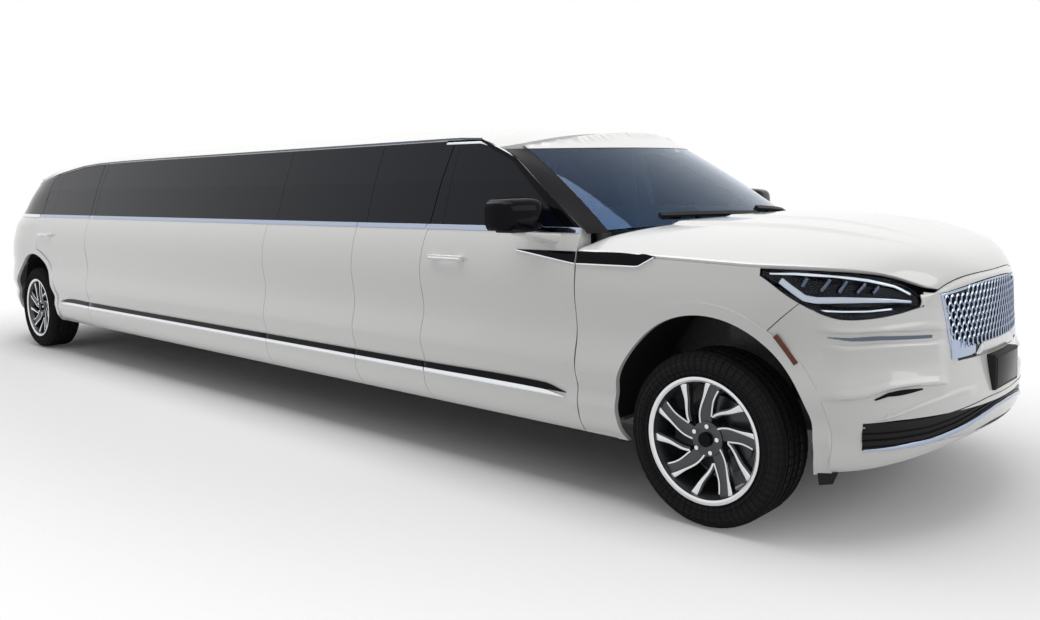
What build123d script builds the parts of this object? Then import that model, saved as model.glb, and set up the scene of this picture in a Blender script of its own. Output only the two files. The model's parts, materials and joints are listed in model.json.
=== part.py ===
"""Stretch limousine: a long-wheelbase luxury utility car cut into its panels, glass, cabin and running gear."""
import os
from math import cos, hypot, radians, sin, sqrt, tan
from build123d import *

os.makedirs("parts", exist_ok=True)

# Driving sizes in millimetres; +X forward, +Y left, +Z up, origin on the ground under the middle of the car
LENGTH = 9200
WHEELBASE = 7165
FRONT_OVERHANG = 885
FRONT_AXLE_X = LENGTH / 2 - FRONT_OVERHANG
REAR_AXLE_X = FRONT_AXLE_X - WHEELBASE
WHEEL_Z = 364
WHEEL_Y = 850
TYRE_WIDTH = 255
RIM_RADIUS = 258
KINGPIN_Y = 775
BELT_Z = 1220
GLASS_TOP_Z = 1655
SILL_Z = 288
WALL_INNER_Y = 870
GLASS_THICK = 7.2
SEAT_GAP = 0.3
DOOR_GAP = 5
SEAM_GAP = 4
SKIN_THICK = 18
SKIN_TOLERANCE = 0.1
ARCH_RADIUS = 447
FRONT_ARCH = (FRONT_AXLE_X + 20, 438)
REAR_ARCH = (REAR_AXLE_X + 35, 418)
FLARE_WIDTH = 52

# Shut lines along the car
SEAM_A = FRONT_AXLE_X - 645
SEAM_B = FRONT_AXLE_X - 1703
SEAM_C = FRONT_AXLE_X - 2302
SEAM_D = FRONT_AXLE_X - 3238
SEAM_E = FRONT_AXLE_X - 5970
REAR_DOOR_END = REAR_AXLE_X + 135
DOOR_TILT = 20
PIN_AHEAD = 60
PIN_Y = 945
PIN_RADIUS = 8
PIN_FIT = 0.3
EDGE_LAND = 0.5

# Shape tables, each row (where, value)
SIDE = [(288, 925), (343, 966), (443, 988), (498, 981), (603, 1003), (758, 980), (943, 995), (1125, 971),
        (1220, 934), (1440, 868), (1655, 785)]
NOSE = [(280, 790), (385, 850), (438, 880), (500, 885), (538, 882), (648, 862), (788, 848), (978, 836), (1043, 822)]
NOSE_START = 250
NOSE_POWER = 2.0
TAIL = [(250, 1080), (400, 1145), (560, 1150), (700, 1140), (800, 1120), (1000, 1100), (1150, 1060),
        (1220, 1025), (1400, 890), (1655, 660)]
TAIL_FROM = [(250, 100), (600, 210), (800, 260), (1000, 140), (1100, 100), (1220, -40), (1400, -180), (1480, -280),
             (1655, -450)]
TAIL_POWER = 2.6
TAIL_FAN = 300
HOOD_ROWS = [(-640, 0, 1121, 1250), (-420, 0, 1117, 1243), (-200, 0, 1112, 1240), (0, 0, 1106, 1238),
             (200, 0, 1100, 1230), (400, 0, 1097, 1208), (540, 10, 1086, 1180), (640, 25, 1064, 1150),
             (700, 40, 1030, 1115), (740, 52, 1000, 1075), (765, 60, 986, 1032)]
HOOD_POWER = 4.0
HOOD_THICK = 25
HOOD_LIP = 6
FASCIA_LOW = [(0, 385), (16, 385), (43, 350), (57, 320), (70, 301), (88, 297)]
FASCIA_TOP = [(0, 972), (41, 972), (50, 985), (60, 1035), (70, 1065), (88, 1075)]
LAMP_TOP = [(49, 954), (51, 991), (55.4, 1030), (61.7, 1058), (72.2, 1083), (80.8, 1092), (88, 1090)]
LAMP_LOW = [(49, 926), (61.9, 897), (72.1, 900), (80.6, 968), (88, 1058)]
ROOF_CREST = [(-1000, 1676), (-1300, 1712), (-1700, 1750), (-2300, 1768), (-6000, 1768), (-6660, 1752), (-7100, 1735),
              (-7500, 1705), (-7700, 1685), (-7900, 1662)]
ROOF_EDGE = [(-1000, 1500), (-1150, 1560), (-1300, 1612), (-1430, 1652), (-1600, 1660), (-5000, 1658), (-5600, 1655),
             (-6100, 1648), (-6400, 1634), (-6660, 1606), (-6900, 1577), (-7100, 1543), (-7300, 1514), (-7500, 1495),
             (-7700, 1478), (-7900, 1462)]
ROOF_POWER = 3.0


def smooth(table, where):
    """Cubic blend through a table, with flat-sided ends."""
    rows = sorted(table)
    if where <= rows[0][0]:
        return rows[0][1]
    if where >= rows[-1][0]:
        return rows[-1][1]
    i = max(k for k in range(len(rows) - 1) if rows[k][0] <= where)
    slopes = []
    for k in (i, i + 1):
        lo, hi = max(k - 1, 0), min(k + 1, len(rows) - 1)
        slopes.append((rows[hi][1] - rows[lo][1]) / (rows[hi][0] - rows[lo][0]))
    span = rows[i + 1][0] - rows[i][0]
    t = (where - rows[i][0]) / span
    a, b = rows[i][1], rows[i + 1][1]
    return (a * (1 + 2 * t) * (1 - t) ** 2 + b * t * t * (3 - 2 * t)
            + span * (slopes[0] * t * (1 - t) ** 2 + slopes[1] * t * t * (t - 1)))


def straight(table, where):
    """Straight run between the rows of a table."""
    rows = sorted(table)
    for (w0, v0), (w1, v1) in zip(rows, rows[1:]):
        if where <= w1:
            return v0 + (v1 - v0) * max(where - w0, 0) / (w1 - w0)
    return rows[-1][1]


def nose_x(z):
    return FRONT_AXLE_X + smooth(NOSE, z)


def tail_x(z):
    return REAR_AXLE_X - smooth(TAIL, z)


def skin_y(x, z):
    """Half width of the outer skin at station x and height z."""
    y = smooth(SIDE, z)
    nose_ahead = (x - FRONT_AXLE_X - NOSE_START) / (nose_x(z) - FRONT_AXLE_X - NOSE_START)
    tail_from = REAR_AXLE_X - smooth(TAIL_FROM, z)
    tail_behind = (tail_from - x) / (tail_from - tail_x(z))
    if nose_ahead > 0:
        y *= max(1 - nose_ahead ** NOSE_POWER, 0) ** (1 / NOSE_POWER)
    if tail_behind > 0:
        y *= max(1 - tail_behind ** TAIL_POWER, 0) ** (1 / TAIL_POWER)
    return y


def fan_point(angle, z, front):
    """Skin point seen from the fan centre of the nose or the tail at an angle from straight ahead or behind."""
    centre = FRONT_AXLE_X + NOSE_START if front else REAR_AXLE_X - TAIL_FAN
    c, s = cos(radians(angle)) * (1 if front else -1), sin(radians(angle))
    inside, outside = 0, 1500
    while outside - inside > 0.001:
        reach = (inside + outside) / 2
        if abs(reach * s) < skin_y(centre + reach * c, z):
            inside = reach
        else:
            outside = reach
    return (centre + inside * c, inside * s, z)


def grid_face(rows):
    return Face.make_surface_from_array_of_points(rows, tol=SKIN_TOLERANCE, min_deg=3, max_deg=3)


def mirrored(part):
    return mirror(part, about=Plane.XZ)


def save(part, label):
    part.label = label
    export_step(part, "parts/" + label + ".step")


def box_between(x0, x1, y0, y1, z0, z1, mode=Mode.ADD):
    """A block given by its limits."""
    with Locations(((x0 + x1) / 2, (y0 + y1) / 2, (z0 + z1) / 2)):
        Box(abs(x1 - x0), abs(y1 - y0), abs(z1 - z0), mode=mode)


def rod_between(start, end, radius, mode=Mode.ADD):
    """A round bar between two points."""
    way = Vector(end) - Vector(start)
    with Locations(Plane(origin=start, z_dir=way)):
        Cylinder(radius, way.length, align=(Align.CENTER, Align.CENTER, Align.MIN), mode=mode)


def side_cut(points, depth_from, depth_to, mode=Mode.SUBTRACT):
    """Cut straight across the car through a side-view outline of (x, z) points."""
    with BuildSketch(Plane.XZ.offset(-depth_from)) as outline:
        with BuildLine():
            Polyline(*points, close=True)
        make_face()
    extrude(outline.sketch, amount=depth_from - depth_to, dir=(0, -1, 0), mode=mode)


def plan_cut(points, z0, z1, mode=Mode.SUBTRACT):
    """Cut straight down through a plan outline of (x, y) points."""
    with BuildSketch(Plane.XY.offset(z0)) as outline:
        with BuildLine():
            Polyline(*points, close=True)
        make_face()
    extrude(outline.sketch, amount=z1 - z0, mode=mode)


def arch_cut(centre, radius, y0=500, y1=1100, mode=Mode.SUBTRACT):
    """Round wheel opening across one side of the car."""
    rod_between((centre[0], y0, centre[1]), (centre[0], y1, centre[1]), radius, mode)


def tilted_keep(x_outer, ahead):
    """Plan outline on one side of a door end face that is tilted so that the inner corner swings clear."""
    lean = tan(radians(DOOR_TILT))
    far = x_outer + (3000 if ahead else -3000)
    return [(x_outer + (985 - y) * lean, y) for y in (1150, 550)] + [(far, 550), (far, 1150)]


# Wall blank: the common section of doors and stretch panels, from the sill to under the roof rail
FRAME_INSET = GLASS_THICK + SEAT_GAP
FRAME_TOP_INNER_Y = 735


def wall_blank(x_rear, x_front, top=GLASS_TOP_Z):
    """Solid side wall with its rebate for the flush glass band."""
    with BuildPart() as blank:
        with BuildSketch(Plane.YZ.offset(x_rear)):
            with BuildLine():
                Spline(*[(y, z) for z, y in SIDE if z <= BELT_Z])
                Polyline((smooth(SIDE, BELT_Z), BELT_Z), (smooth(SIDE, BELT_Z) - FRAME_INSET, BELT_Z),
                         (smooth(SIDE, 1440) - FRAME_INSET, 1440), (smooth(SIDE, top) - FRAME_INSET, top),
                         (FRAME_TOP_INNER_Y, top), (WALL_INNER_Y, BELT_Z + 10), (WALL_INNER_Y, SILL_Z),
                         (smooth(SIDE, SILL_Z), SILL_Z))
            make_face()
        extrude(amount=x_front - x_rear)
    return blank.part


def glass_blank(x_rear, x_front, top):
    """Flush glass band laid over the wall frames."""
    with BuildPart() as band:
        with BuildSketch(Plane.YZ.offset(x_rear)):
            with BuildLine():
                outer = [(smooth(SIDE, z), z) for z in (BELT_Z + 1, 1440, top)]
                inner = [(y - GLASS_THICK, z) for y, z in reversed(outer)]
                Polyline(*outer, *inner, close=True)
            make_face()
        extrude(amount=x_front - x_rear)
    return band.part


def roof_line(x_from, x_to, drop):
    """Side-view points along the roof rail, lowered by drop."""
    rows = sorted(FRONT_AXLE_X + u for u, z in ROOF_EDGE)
    xs = [x_from] + [x for x in rows if x_from < x < x_to] + [x_to]
    return [(x, straight(ROOF_EDGE, x - FRONT_AXLE_X) - drop) for x in xs]


def rail_cut(x_rear, x_front, drop):
    """Trim a side wall or its glass under the sloping roof rail."""
    side_cut(roof_line(x_rear - 50, x_front + 50, drop) + [(x_front + 50, 1900), (x_rear - 50, 1900)], 1100, 500)


def window_cut(x_rear, x_front, low=BELT_Z + 45, high=GLASS_TOP_Z - 55):
    side_cut([(x_rear, low), (x_front, low), (x_front, high), (x_rear, high)], 1100, 600)


def hinge_arm(x_edge, levels):
    """Goose-neck arms that run inside the neighbouring skin to eyes on the hinge pin."""
    pin_x = x_edge + PIN_AHEAD
    for z in levels:
        box_between(x_edge - 10, pin_x + 10, PIN_Y - 73, PIN_Y - 53, z - 20, z + 20)
        box_between(pin_x - 10, pin_x + 10, PIN_Y - 73, PIN_Y, z - 20, z + 20)
        rod_between((pin_x, PIN_Y, z - 20), (pin_x, PIN_Y, z + 20), 2 * PIN_RADIUS)
        rod_between((pin_x, PIN_Y, z - 25), (pin_x, PIN_Y, z + 25), PIN_RADIUS + PIN_FIT, Mode.SUBTRACT)


def hinge_relief(x_edge):
    """Hollow turned about the hinge pin, so the edge of the door swings round the skin ahead of it."""
    pin_x = x_edge + PIN_AHEAD
    levels = range(300, 1201, 25)
    edge = [(hypot(PIN_AHEAD, smooth(SIDE, z) - PIN_Y) - EDGE_LAND, z) for z in levels]
    with BuildPart() as hollow:
        with BuildSketch(Plane(origin=(pin_x, PIN_Y, 0), x_dir=(1, 0, 0), z_dir=(0, -1, 0))):
            with BuildLine():
                Polyline((0, levels[0]), *edge, (0, levels[-1]), close=True)
            make_face()
        revolve(axis=Axis((pin_x, PIN_Y, 0), (0, 0, 1)))
    return hollow.part


HINGE_LEVELS = (560, 900)
DOOR_TOP = GLASS_TOP_Z - DOOR_GAP

# Front door: outline with the sloping front of its window frame
PILLAR_FOOT = (SEAM_A - DOOR_GAP / 2 - 5, BELT_Z - 2)
PILLAR_KNEE = (FRONT_AXLE_X - 1150, 1551)
PILLAR_HEAD = (FRONT_AXLE_X - 1430, DOOR_TOP)
door_front_x = SEAM_A - DOOR_GAP / 2
with BuildPart() as front_door:
    add(wall_blank(SEAM_B - 150, door_front_x, DOOR_TOP))
    plan_cut(tilted_keep(SEAM_B + DOOR_GAP / 2, False), 200, 1800)
    side_cut([PILLAR_FOOT, PILLAR_KNEE, PILLAR_HEAD, (PILLAR_HEAD[0], 1800), (door_front_x + 50, 1800),
              (door_front_x + 50, BELT_Z - 2)], 1100, 600)
    side_cut([(SEAM_B + 150, BELT_Z + 45), (FRONT_AXLE_X - 800, BELT_Z + 45), (FRONT_AXLE_X - 1180, 1490),
              (FRONT_AXLE_X - 1420, DOOR_TOP - 55), (SEAM_B + 150, DOOR_TOP - 55)], 1100, 600)
    rail_cut(SEAM_B - 150, FRONT_AXLE_X - 1100, DOOR_GAP + 5)
    add(hinge_relief(door_front_x), mode=Mode.SUBTRACT)
    hinge_arm(door_front_x, HINGE_LEVELS)
save(front_door.part, "front_door_left")
save(mirrored(front_door.part), "front_door_right")

FRONT_GLASS_SEAM = FRONT_AXLE_X - 1585
with BuildPart() as front_glass:
    add(glass_blank(SEAM_B - 150, door_front_x, DOOR_TOP))
    plan_cut(tilted_keep(SEAM_B + DOOR_GAP / 2 + 1, False), 200, 1800)
    side_cut([(PILLAR_FOOT[0] - 90, BELT_Z), (PILLAR_FOOT[0] - 90, BELT_Z + 40), (PILLAR_KNEE[0] - 15, PILLAR_KNEE[1] - 15),
              (PILLAR_HEAD[0] - 5, DOOR_TOP - 8), (SEAM_B - 300, DOOR_TOP - 8), (SEAM_B - 300, 1800), (4500, 1800),
              (4500, BELT_Z)], 1100, 600)
    rail_cut(SEAM_B - 150, FRONT_AXLE_X - 1100, DOOR_GAP + 6)
    box_between(FRONT_GLASS_SEAM - 1, FRONT_GLASS_SEAM + 1, 600, 1100, 1200, 1800, Mode.SUBTRACT)
save(front_glass.part, "front_glass_left")
save(mirrored(front_glass.part), "front_glass_right")

# Door mirrors: a rounded shell on a foot that stands on the door skin
MIRROR_X = FRONT_AXLE_X - 905
with BuildPart() as mirror_left:
    with BuildSketch(Plane.XZ.offset(-1008)):
        with Locations((MIRROR_X, 1285)):
            RectangleRounded(150, 130, 40)
    with BuildSketch(Plane.XZ.offset(-1190)):
        with Locations((MIRROR_X, 1288)):
            RectangleRounded(110, 118, 38)
    loft()
    box_between(MIRROR_X - 45, MIRROR_X + 60, 940.2, 1050, 1208, 1238)
save(mirror_left.part, "mirror_left")
save(mirrored(mirror_left.part), "mirror_right")

# Rear door: its rear edge follows the wheel opening
REAR_EDGE_RADIUS = ARCH_RADIUS + FLARE_WIDTH


def rear_door_keep(shift):
    """Prism ahead of the rear door's back edge, moved back by shift, with the tilted end face."""
    lean = tan(radians(DOOR_TILT))
    radius = REAR_EDGE_RADIUS + DOOR_GAP - shift
    edge = REAR_DOOR_END + DOOR_GAP / 2 - shift
    corner_z = REAR_ARCH[1] + sqrt(radius ** 2 - (edge - REAR_ARCH[0]) ** 2)
    foot_x = REAR_ARCH[0] + sqrt(radius ** 2 - (REAR_ARCH[1] - 200) ** 2)
    mid = (REAR_ARCH[0] + radius * cos(radians(35)), REAR_ARCH[1] + radius * sin(radians(35)))
    with BuildPart() as keep:
        for way, reach in ((-1, 460), (1, 120)):
            with BuildSketch(Plane.XZ.offset(-985)) as outline:
                with BuildLine():
                    Polyline((edge, corner_z), (edge, 1800), (SEAM_E + 900, 1800), (SEAM_E + 900, 200), (foot_x, 200))
                    ThreePointArc((foot_x, 200), mid, (edge, corner_z))
                make_face()
            extrude(outline.sketch, amount=reach, dir=(-way * lean, way, 0))
    return keep.part


rear_front_x = SEAM_E - DOOR_GAP / 2
rear_keep = rear_door_keep(0)
with BuildPart() as rear_door:
    add(wall_blank(REAR_DOOR_END - 250, rear_front_x, DOOR_TOP))
    add(rear_keep, mode=Mode.INTERSECT)
    rail_cut(REAR_DOOR_END - 300, rear_front_x, DOOR_GAP + 5)
    window_cut(REAR_DOOR_END + 210, rear_front_x - 70, high=1540)
    add(hinge_relief(rear_front_x), mode=Mode.SUBTRACT)
    hinge_arm(rear_front_x, HINGE_LEVELS)
save(rear_door.part, "rear_door_left")
save(mirrored(rear_door.part), "rear_door_right")

REAR_GLASS_SEAM = FRONT_AXLE_X - 6770
with BuildPart() as rear_glass:
    add(glass_blank(REAR_DOOR_END - 250, rear_front_x - 1, DOOR_TOP))
    add(rear_door_keep(-1), mode=Mode.INTERSECT)
    rail_cut(REAR_DOOR_END - 300, rear_front_x, DOOR_GAP + 6)
    box_between(REAR_GLASS_SEAM - 1, REAR_GLASS_SEAM + 1, 600, 1100, 1200, 1800, Mode.SUBTRACT)
save(rear_glass.part, "rear_door_glass_left")
save(mirrored(rear_glass.part), "rear_door_glass_right")

# Stretch panels between the doors
HINGE_POCKET = 130
STRETCH = [(SEAM_C, SEAM_B), (SEAM_D, SEAM_C), (SEAM_E, SEAM_D)]
with BuildPart() as stretch_left:
    for rear, front in STRETCH:
        reach = 150 if front == SEAM_B else 0
        add(wall_blank(rear + SEAM_GAP / 2, front - SEAM_GAP / 2 + reach))
    plan_cut(tilted_keep(SEAM_B - DOOR_GAP / 2, True), 200, 1800)
    rail_cut(SEAM_E, SEAM_B + 150, 5)
    for rear, front in STRETCH:
        window_cut(rear + 90, front - 90, high=GLASS_TOP_Z - 80)
    for z in HINGE_LEVELS:
        box_between(SEAM_E - 10, SEAM_E + HINGE_POCKET, WALL_INNER_Y - 10, PIN_Y + 24, z - 32, z + 32, Mode.SUBTRACT)
    for z in HINGE_LEVELS:
        rod_between((rear_front_x + PIN_AHEAD, PIN_Y, z - 34), (rear_front_x + PIN_AHEAD, PIN_Y, z + 34), PIN_RADIUS)
save(stretch_left.part, "stretch_panels_left")
save(mirrored(stretch_left.part), "stretch_panels_right")

STRETCH_SEAMS = [FRONT_AXLE_X - 2227, FRONT_AXLE_X - 3148, FRONT_AXLE_X - 5891]
with BuildPart() as stretch_glass:
    add(glass_blank(SEAM_E + DOOR_GAP / 2, SEAM_B + 150, GLASS_TOP_Z - 2))
    plan_cut(tilted_keep(SEAM_B - DOOR_GAP / 2 - 1, True), 200, 1800)
    rail_cut(SEAM_E, SEAM_B + 150, 6)
    for x in STRETCH_SEAMS:
        box_between(x - 1.5, x + 1.5, 600, 1100, 1200, 1800, Mode.SUBTRACT)
save(stretch_glass.part, "stretch_glass_left")
save(mirrored(stretch_glass.part), "stretch_glass_right")


def skin_panel(x_values, z_values, outward=0):
    """Side skin between stations and heights, as a face that may stand proud of the body."""
    return grid_face([[(x, skin_y(x, z) + outward, z) for z in z_values] for x in x_values])


# Front fender with its wheel flare, ahead of the front door
FLARE_PROUD = 7
fender_x = [SEAM_A - 20 + k * (FRONT_AXLE_X + 520 - SEAM_A + 20) / 11 for k in range(12)]
fender_z = [288, 315, 343, 370, 405, 443, 470, 498, 550, 603, 655, 706, 758, 820, 880, 943, 1005, 1065, 1125, 1180]
hood_edge_line = [(FRONT_AXLE_X + u, edge - HOOD_LIP) for u, bow, edge, crest in HOOD_ROWS]
BUMPER_SEAM = [(FRONT_AXLE_X + 285, 832), (FRONT_AXLE_X + 425, 963)]
with BuildPart() as flare_front:
    extrude(skin_panel(fender_x, fender_z, FLARE_PROUD), amount=SKIN_THICK + FLARE_PROUD, dir=(0, -1, 0))
    arch_cut(FRONT_ARCH, ARCH_RADIUS + FLARE_WIDTH, mode=Mode.INTERSECT)
    arch_cut(FRONT_ARCH, ARCH_RADIUS)
    box_between(SEAM_A - 400, SEAM_A + DOOR_GAP / 2, 600, 1200, 0, 1500, Mode.SUBTRACT)

with BuildPart() as fender_left:
    extrude(skin_panel(fender_x, fender_z), amount=SKIN_THICK, dir=(0, -1, 0))
    box_between(SEAM_A - 400, SEAM_A + DOOR_GAP / 2, 600, 1200, 0, 1500, Mode.SUBTRACT)
    side_cut([(2500, hood_edge_line[0][1] - DOOR_GAP)] + [(x, z - DOOR_GAP) for x, z in hood_edge_line]
             + [(4700, 1500), (2500, 1500)], 1200, 600)
    side_cut([BUMPER_SEAM[0], BUMPER_SEAM[1], (BUMPER_SEAM[1][0], 1500), (5000, 1500), (5000, 0),
              (BUMPER_SEAM[0][0], 0)], 1200, 600)
    arch_cut(FRONT_ARCH, ARCH_RADIUS)
    add(flare_front.part)

# Front fascia wrapped round the nose, with the lamp, grille and intake openings
fan_angles = [-88, -80, -70, -58, -46, -34, -22, -8, 8, 22, 34, 46, 58, 70, 80, 88]
rows_up = [k / 8 for k in range(9)]
FASCIA_THICK = 24
GRILLE_LOW_Z = 695
GRILLE_LOW_Y = 375
GRILLE_TOP_Z = 985
GRILLE_TOP_Y = 446
INTAKE_LOW_Z = 395
INTAKE_TOP_Z = 505
INTAKE_Y = 800


def wrap_face(angles, low, top, front=True, out=0):
    """Face wrapped round the nose or tail between two edge tables of (angle, height)."""
    rows = []
    for angle in angles:
        z0, z1 = smooth(low, abs(angle)), smooth(top, abs(angle))
        column = []
        for s in rows_up:
            x, y, z = fan_point(angle, z0 + (z1 - z0) * s, front)
            c, sn = cos(radians(angle)), sin(radians(angle))
            column.append((x + out * c * (1 if front else -1), y + out * sn, z))
        rows.append(column)
    return grid_face(rows)


def shifted(table, by):
    return [(row, value + by) for row, value in table]


LAMP_GAP = HOOD_LIP + DOOR_GAP + 2
LAMP_DEPTH = 45
lamp_angles = [49, 53, 57, 61, 65, 69, 73, 77, 81, 85, 87.5]
pocket_face = wrap_face([48.5] + lamp_angles[1:-1] + [88.5], shifted(LAMP_LOW, -1), shifted(LAMP_TOP, 30))
LAMP_IN = Vector(-0.5, -0.866, 0)
with BuildPart() as lamp_pocket:
    extrude(pocket_face, amount=LAMP_DEPTH + 10, dir=LAMP_IN)
    extrude(pocket_face, amount=40, dir=-LAMP_IN)
with BuildPart() as headlamps:
    extrude(wrap_face(lamp_angles, LAMP_LOW, shifted(LAMP_TOP, -LAMP_GAP)), amount=LAMP_DEPTH, dir=LAMP_IN)
    add(mirrored(headlamps.part))
save(headlamps.part, "headlamps")

with BuildPart() as fascia:
    thicken(wrap_face(fan_angles, FASCIA_LOW, FASCIA_TOP), amount=-FASCIA_THICK)
    with BuildSketch(Plane.YZ.offset(FRONT_AXLE_X + 500)):
        with BuildLine():
            Polyline((-GRILLE_LOW_Y, GRILLE_LOW_Z), (GRILLE_LOW_Y, GRILLE_LOW_Z), (GRILLE_TOP_Y, GRILLE_TOP_Z),
                     (GRILLE_TOP_Y, 1100), (-GRILLE_TOP_Y, 1100), (-GRILLE_TOP_Y, GRILLE_TOP_Z), close=True)
        make_face()
        with Locations((0, (INTAKE_LOW_Z + INTAKE_TOP_Z) / 2)):
            Rectangle(2 * INTAKE_Y, INTAKE_TOP_Z - INTAKE_LOW_Z)
    extrude(amount=600, mode=Mode.SUBTRACT)
    for side in (1, -1):
        pocket = lamp_pocket.part if side > 0 else mirrored(lamp_pocket.part)
        add(pocket, mode=Mode.SUBTRACT)
        rod_between((FRONT_ARCH[0], side * 400, FRONT_ARCH[1]), (FRONT_ARCH[0], side * 1200, FRONT_ARCH[1]),
                    ARCH_RADIUS + FLARE_WIDTH + 1, Mode.SUBTRACT)
    side_cut([(BUMPER_SEAM[0][0] - 300, 700), (BUMPER_SEAM[0][0] + 1, 820), (BUMPER_SEAM[0][0] + 3, 832 - 2),
              (BUMPER_SEAM[1][0] + 3, BUMPER_SEAM[1][1] - 2), (BUMPER_SEAM[1][0] + 3, 1200), (3500, 1200)], 1200, -1200)
    box_between(FRONT_AXLE_X + 700.3, FRONT_AXLE_X + 858, -60, 60, 590, 620)
save(fascia.part, "front_fascia")

with BuildPart() as fender_left_done:
    add(fender_left.part)
    add(lamp_pocket.part, mode=Mode.SUBTRACT)
    box_between(SEAM_A + 60, SEAM_A + 100, 850, 985, 980, 1010)
    box_between(SEAM_A + 60, SEAM_A + 100, 850, 976, 420, 450)
save(fender_left_done.part, "fender_left")
save(mirrored(fender_left_done.part), "fender_right")


def nose_skin_x(y, z, back=0):
    """Station of the nose skin at a given width and height."""
    start = FRONT_AXLE_X + NOSE_START
    share = min(abs(y) / smooth(SIDE, z), 1)
    return start + (nose_x(z) - start) * (1 - share ** NOSE_POWER) ** (1 / NOSE_POWER) - back


# Grille and lower intake panels set in the fascia openings
widths = [-1, -0.8, -0.6, -0.4, -0.2, 0, 0.2, 0.4, 0.6, 0.8, 1]
heights = [0, 0.25, 0.5, 0.75, 1]
with BuildPart() as grille:
    rows = []
    for t in widths:
        column = []
        for share in heights:
            z = GRILLE_LOW_Z + SEAT_GAP + (956 + 42 * (1 - t * t) - GRILLE_LOW_Z) * share
            flank = (z - GRILLE_LOW_Z) / (GRILLE_TOP_Z - GRILLE_LOW_Z)
            half = GRILLE_LOW_Y + (GRILLE_TOP_Y - GRILLE_LOW_Y) * min(flank, 1) - 0.8
            column.append((nose_skin_x(t * half, z, 4), t * half, z))
        rows.append(column)
    extrude(grid_face(rows), amount=30, dir=(-1, 0, 0))
save(grille.part, "grille")

with BuildPart() as lower_grille:
    rows = [[(nose_skin_x(t * (INTAKE_Y - 0.6), z, 18), t * (INTAKE_Y - 0.6), z)
             for z in (INTAKE_LOW_Z + 0.6, 450, INTAKE_TOP_Z - 0.6)] for t in widths]
    extrude(grid_face(rows), amount=20, dir=(-1, 0, 0))
save(lower_grille.part, "lower_grille")

# Hood: a clamshell whose sides come down to the shoulder line
hood_across = [-1, -0.94, -0.86, -0.75, -0.6, -0.4, -0.2, 0, 0.2, 0.4, 0.6, 0.75, 0.86, 0.94, 1]


def hood_point(row, t):
    u, bow, edge, crest = row
    half = skin_y(FRONT_AXLE_X + u, edge)
    return (FRONT_AXLE_X + u + bow * (1 - t * t), t * half, edge + (crest - edge) * (1 - abs(t) ** HOOD_POWER))


COWL_X = FRONT_AXLE_X - 250
COWL_CORNER = (FRONT_AXLE_X - 587, 822)
PILLAR_CLEAR = 24
hood_rear = SEAM_A + DOOR_GAP / 2
hood_corner = (COWL_CORNER[0] + PILLAR_CLEAR, COWL_CORNER[1] + 8)
with BuildPart() as hood:
    extrude(grid_face([[hood_point(row, t) for t in hood_across] for row in HOOD_ROWS]), amount=HOOD_THICK, dir=(0, 0, -1))
    with BuildSketch(Plane.XY.offset(900)):
        with BuildLine():
            ThreePointArc((hood_corner[0], -hood_corner[1]), (COWL_X + 45, 0), hood_corner)
            Polyline(hood_corner, (hood_rear + PILLAR_CLEAR, 930), (hood_rear, 945), (hood_rear, 1100),
                     (hood_rear - 300, 1100), (hood_rear - 300, -1100), (hood_rear, -1100), (hood_rear, -945),
                     (hood_rear + PILLAR_CLEAR, -930), (hood_corner[0], -hood_corner[1]))
        make_face()
    extrude(amount=600, mode=Mode.SUBTRACT)
    side_cut([(hood_rear - 300, hood_edge_line[0][1])] + hood_edge_line + [(4700, hood_edge_line[-1][1]), (4700, 800),
                                                                          (hood_rear - 300, 800)], 1200, -1200)
save(hood.part, "hood")

# Windscreen between the cowl and the roof header
SCREEN_THICK = 6
SCREEN_FOOT = (COWL_X, 1233)
SCREEN_HEAD = (FRONT_AXLE_X - 1020, 1688)
FOOT_CORNER = (COWL_CORNER[0], COWL_CORNER[1], 1207)
HEAD_CORNER = (FRONT_AXLE_X - 1223, 691, 1617)
SCREEN_BULGE = 14
SCREEN_SEAT = 0.5


def screen_point(s, t):
    """Point of the windscreen, s across and t up."""
    foot = Vector(SCREEN_FOOT[0] + (FOOT_CORNER[0] - SCREEN_FOOT[0]) * s * s, FOOT_CORNER[1] * s,
                  SCREEN_FOOT[1] + (FOOT_CORNER[2] - SCREEN_FOOT[1]) * s * s)
    head = Vector(SCREEN_HEAD[0] + (HEAD_CORNER[0] - SCREEN_HEAD[0]) * s * s, HEAD_CORNER[1] * s,
                  SCREEN_HEAD[1] + (HEAD_CORNER[2] - SCREEN_HEAD[1]) * s * s)
    rise = 4 * SCREEN_BULGE * t * (1 - t)
    return foot + (head - foot) * t + Vector(0.5 * rise, 0, 0.86 * rise)


with BuildPart() as windscreen:
    extrude(grid_face([[screen_point(s, t) for t in (0, 0.25, 0.5, 0.75, 1)] for s in widths]), amount=SCREEN_THICK,
            dir=(-0.5, 0, -0.86))
save(windscreen.part, "windscreen")

# Roof from the header to the tailgate
ROOF_THICK = 35
ROOF_INNER_Y = 640
HEADER_GAP = 8
ROOF_END = REAR_AXLE_X - 420
roof_rows = [-1000, -1150, -1300, -1450, -1700, -2100, -2800, -4000, -5000, -5600, -6100, -6600, -7000, -7300, -7640]
roof_across = [-1, -0.93, -0.82, -0.66, -0.45, -0.22, 0, 0.22, 0.45, 0.66, 0.82, 0.93, 1]


def roof_point(u, t):
    x = FRONT_AXLE_X + u
    edge, crest = smooth(ROOF_EDGE, u), smooth(ROOF_CREST, u)
    return (x, t * (skin_y(x, edge) - 1), edge + (crest - edge) * (1 - abs(t) ** ROOF_POWER))


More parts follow.
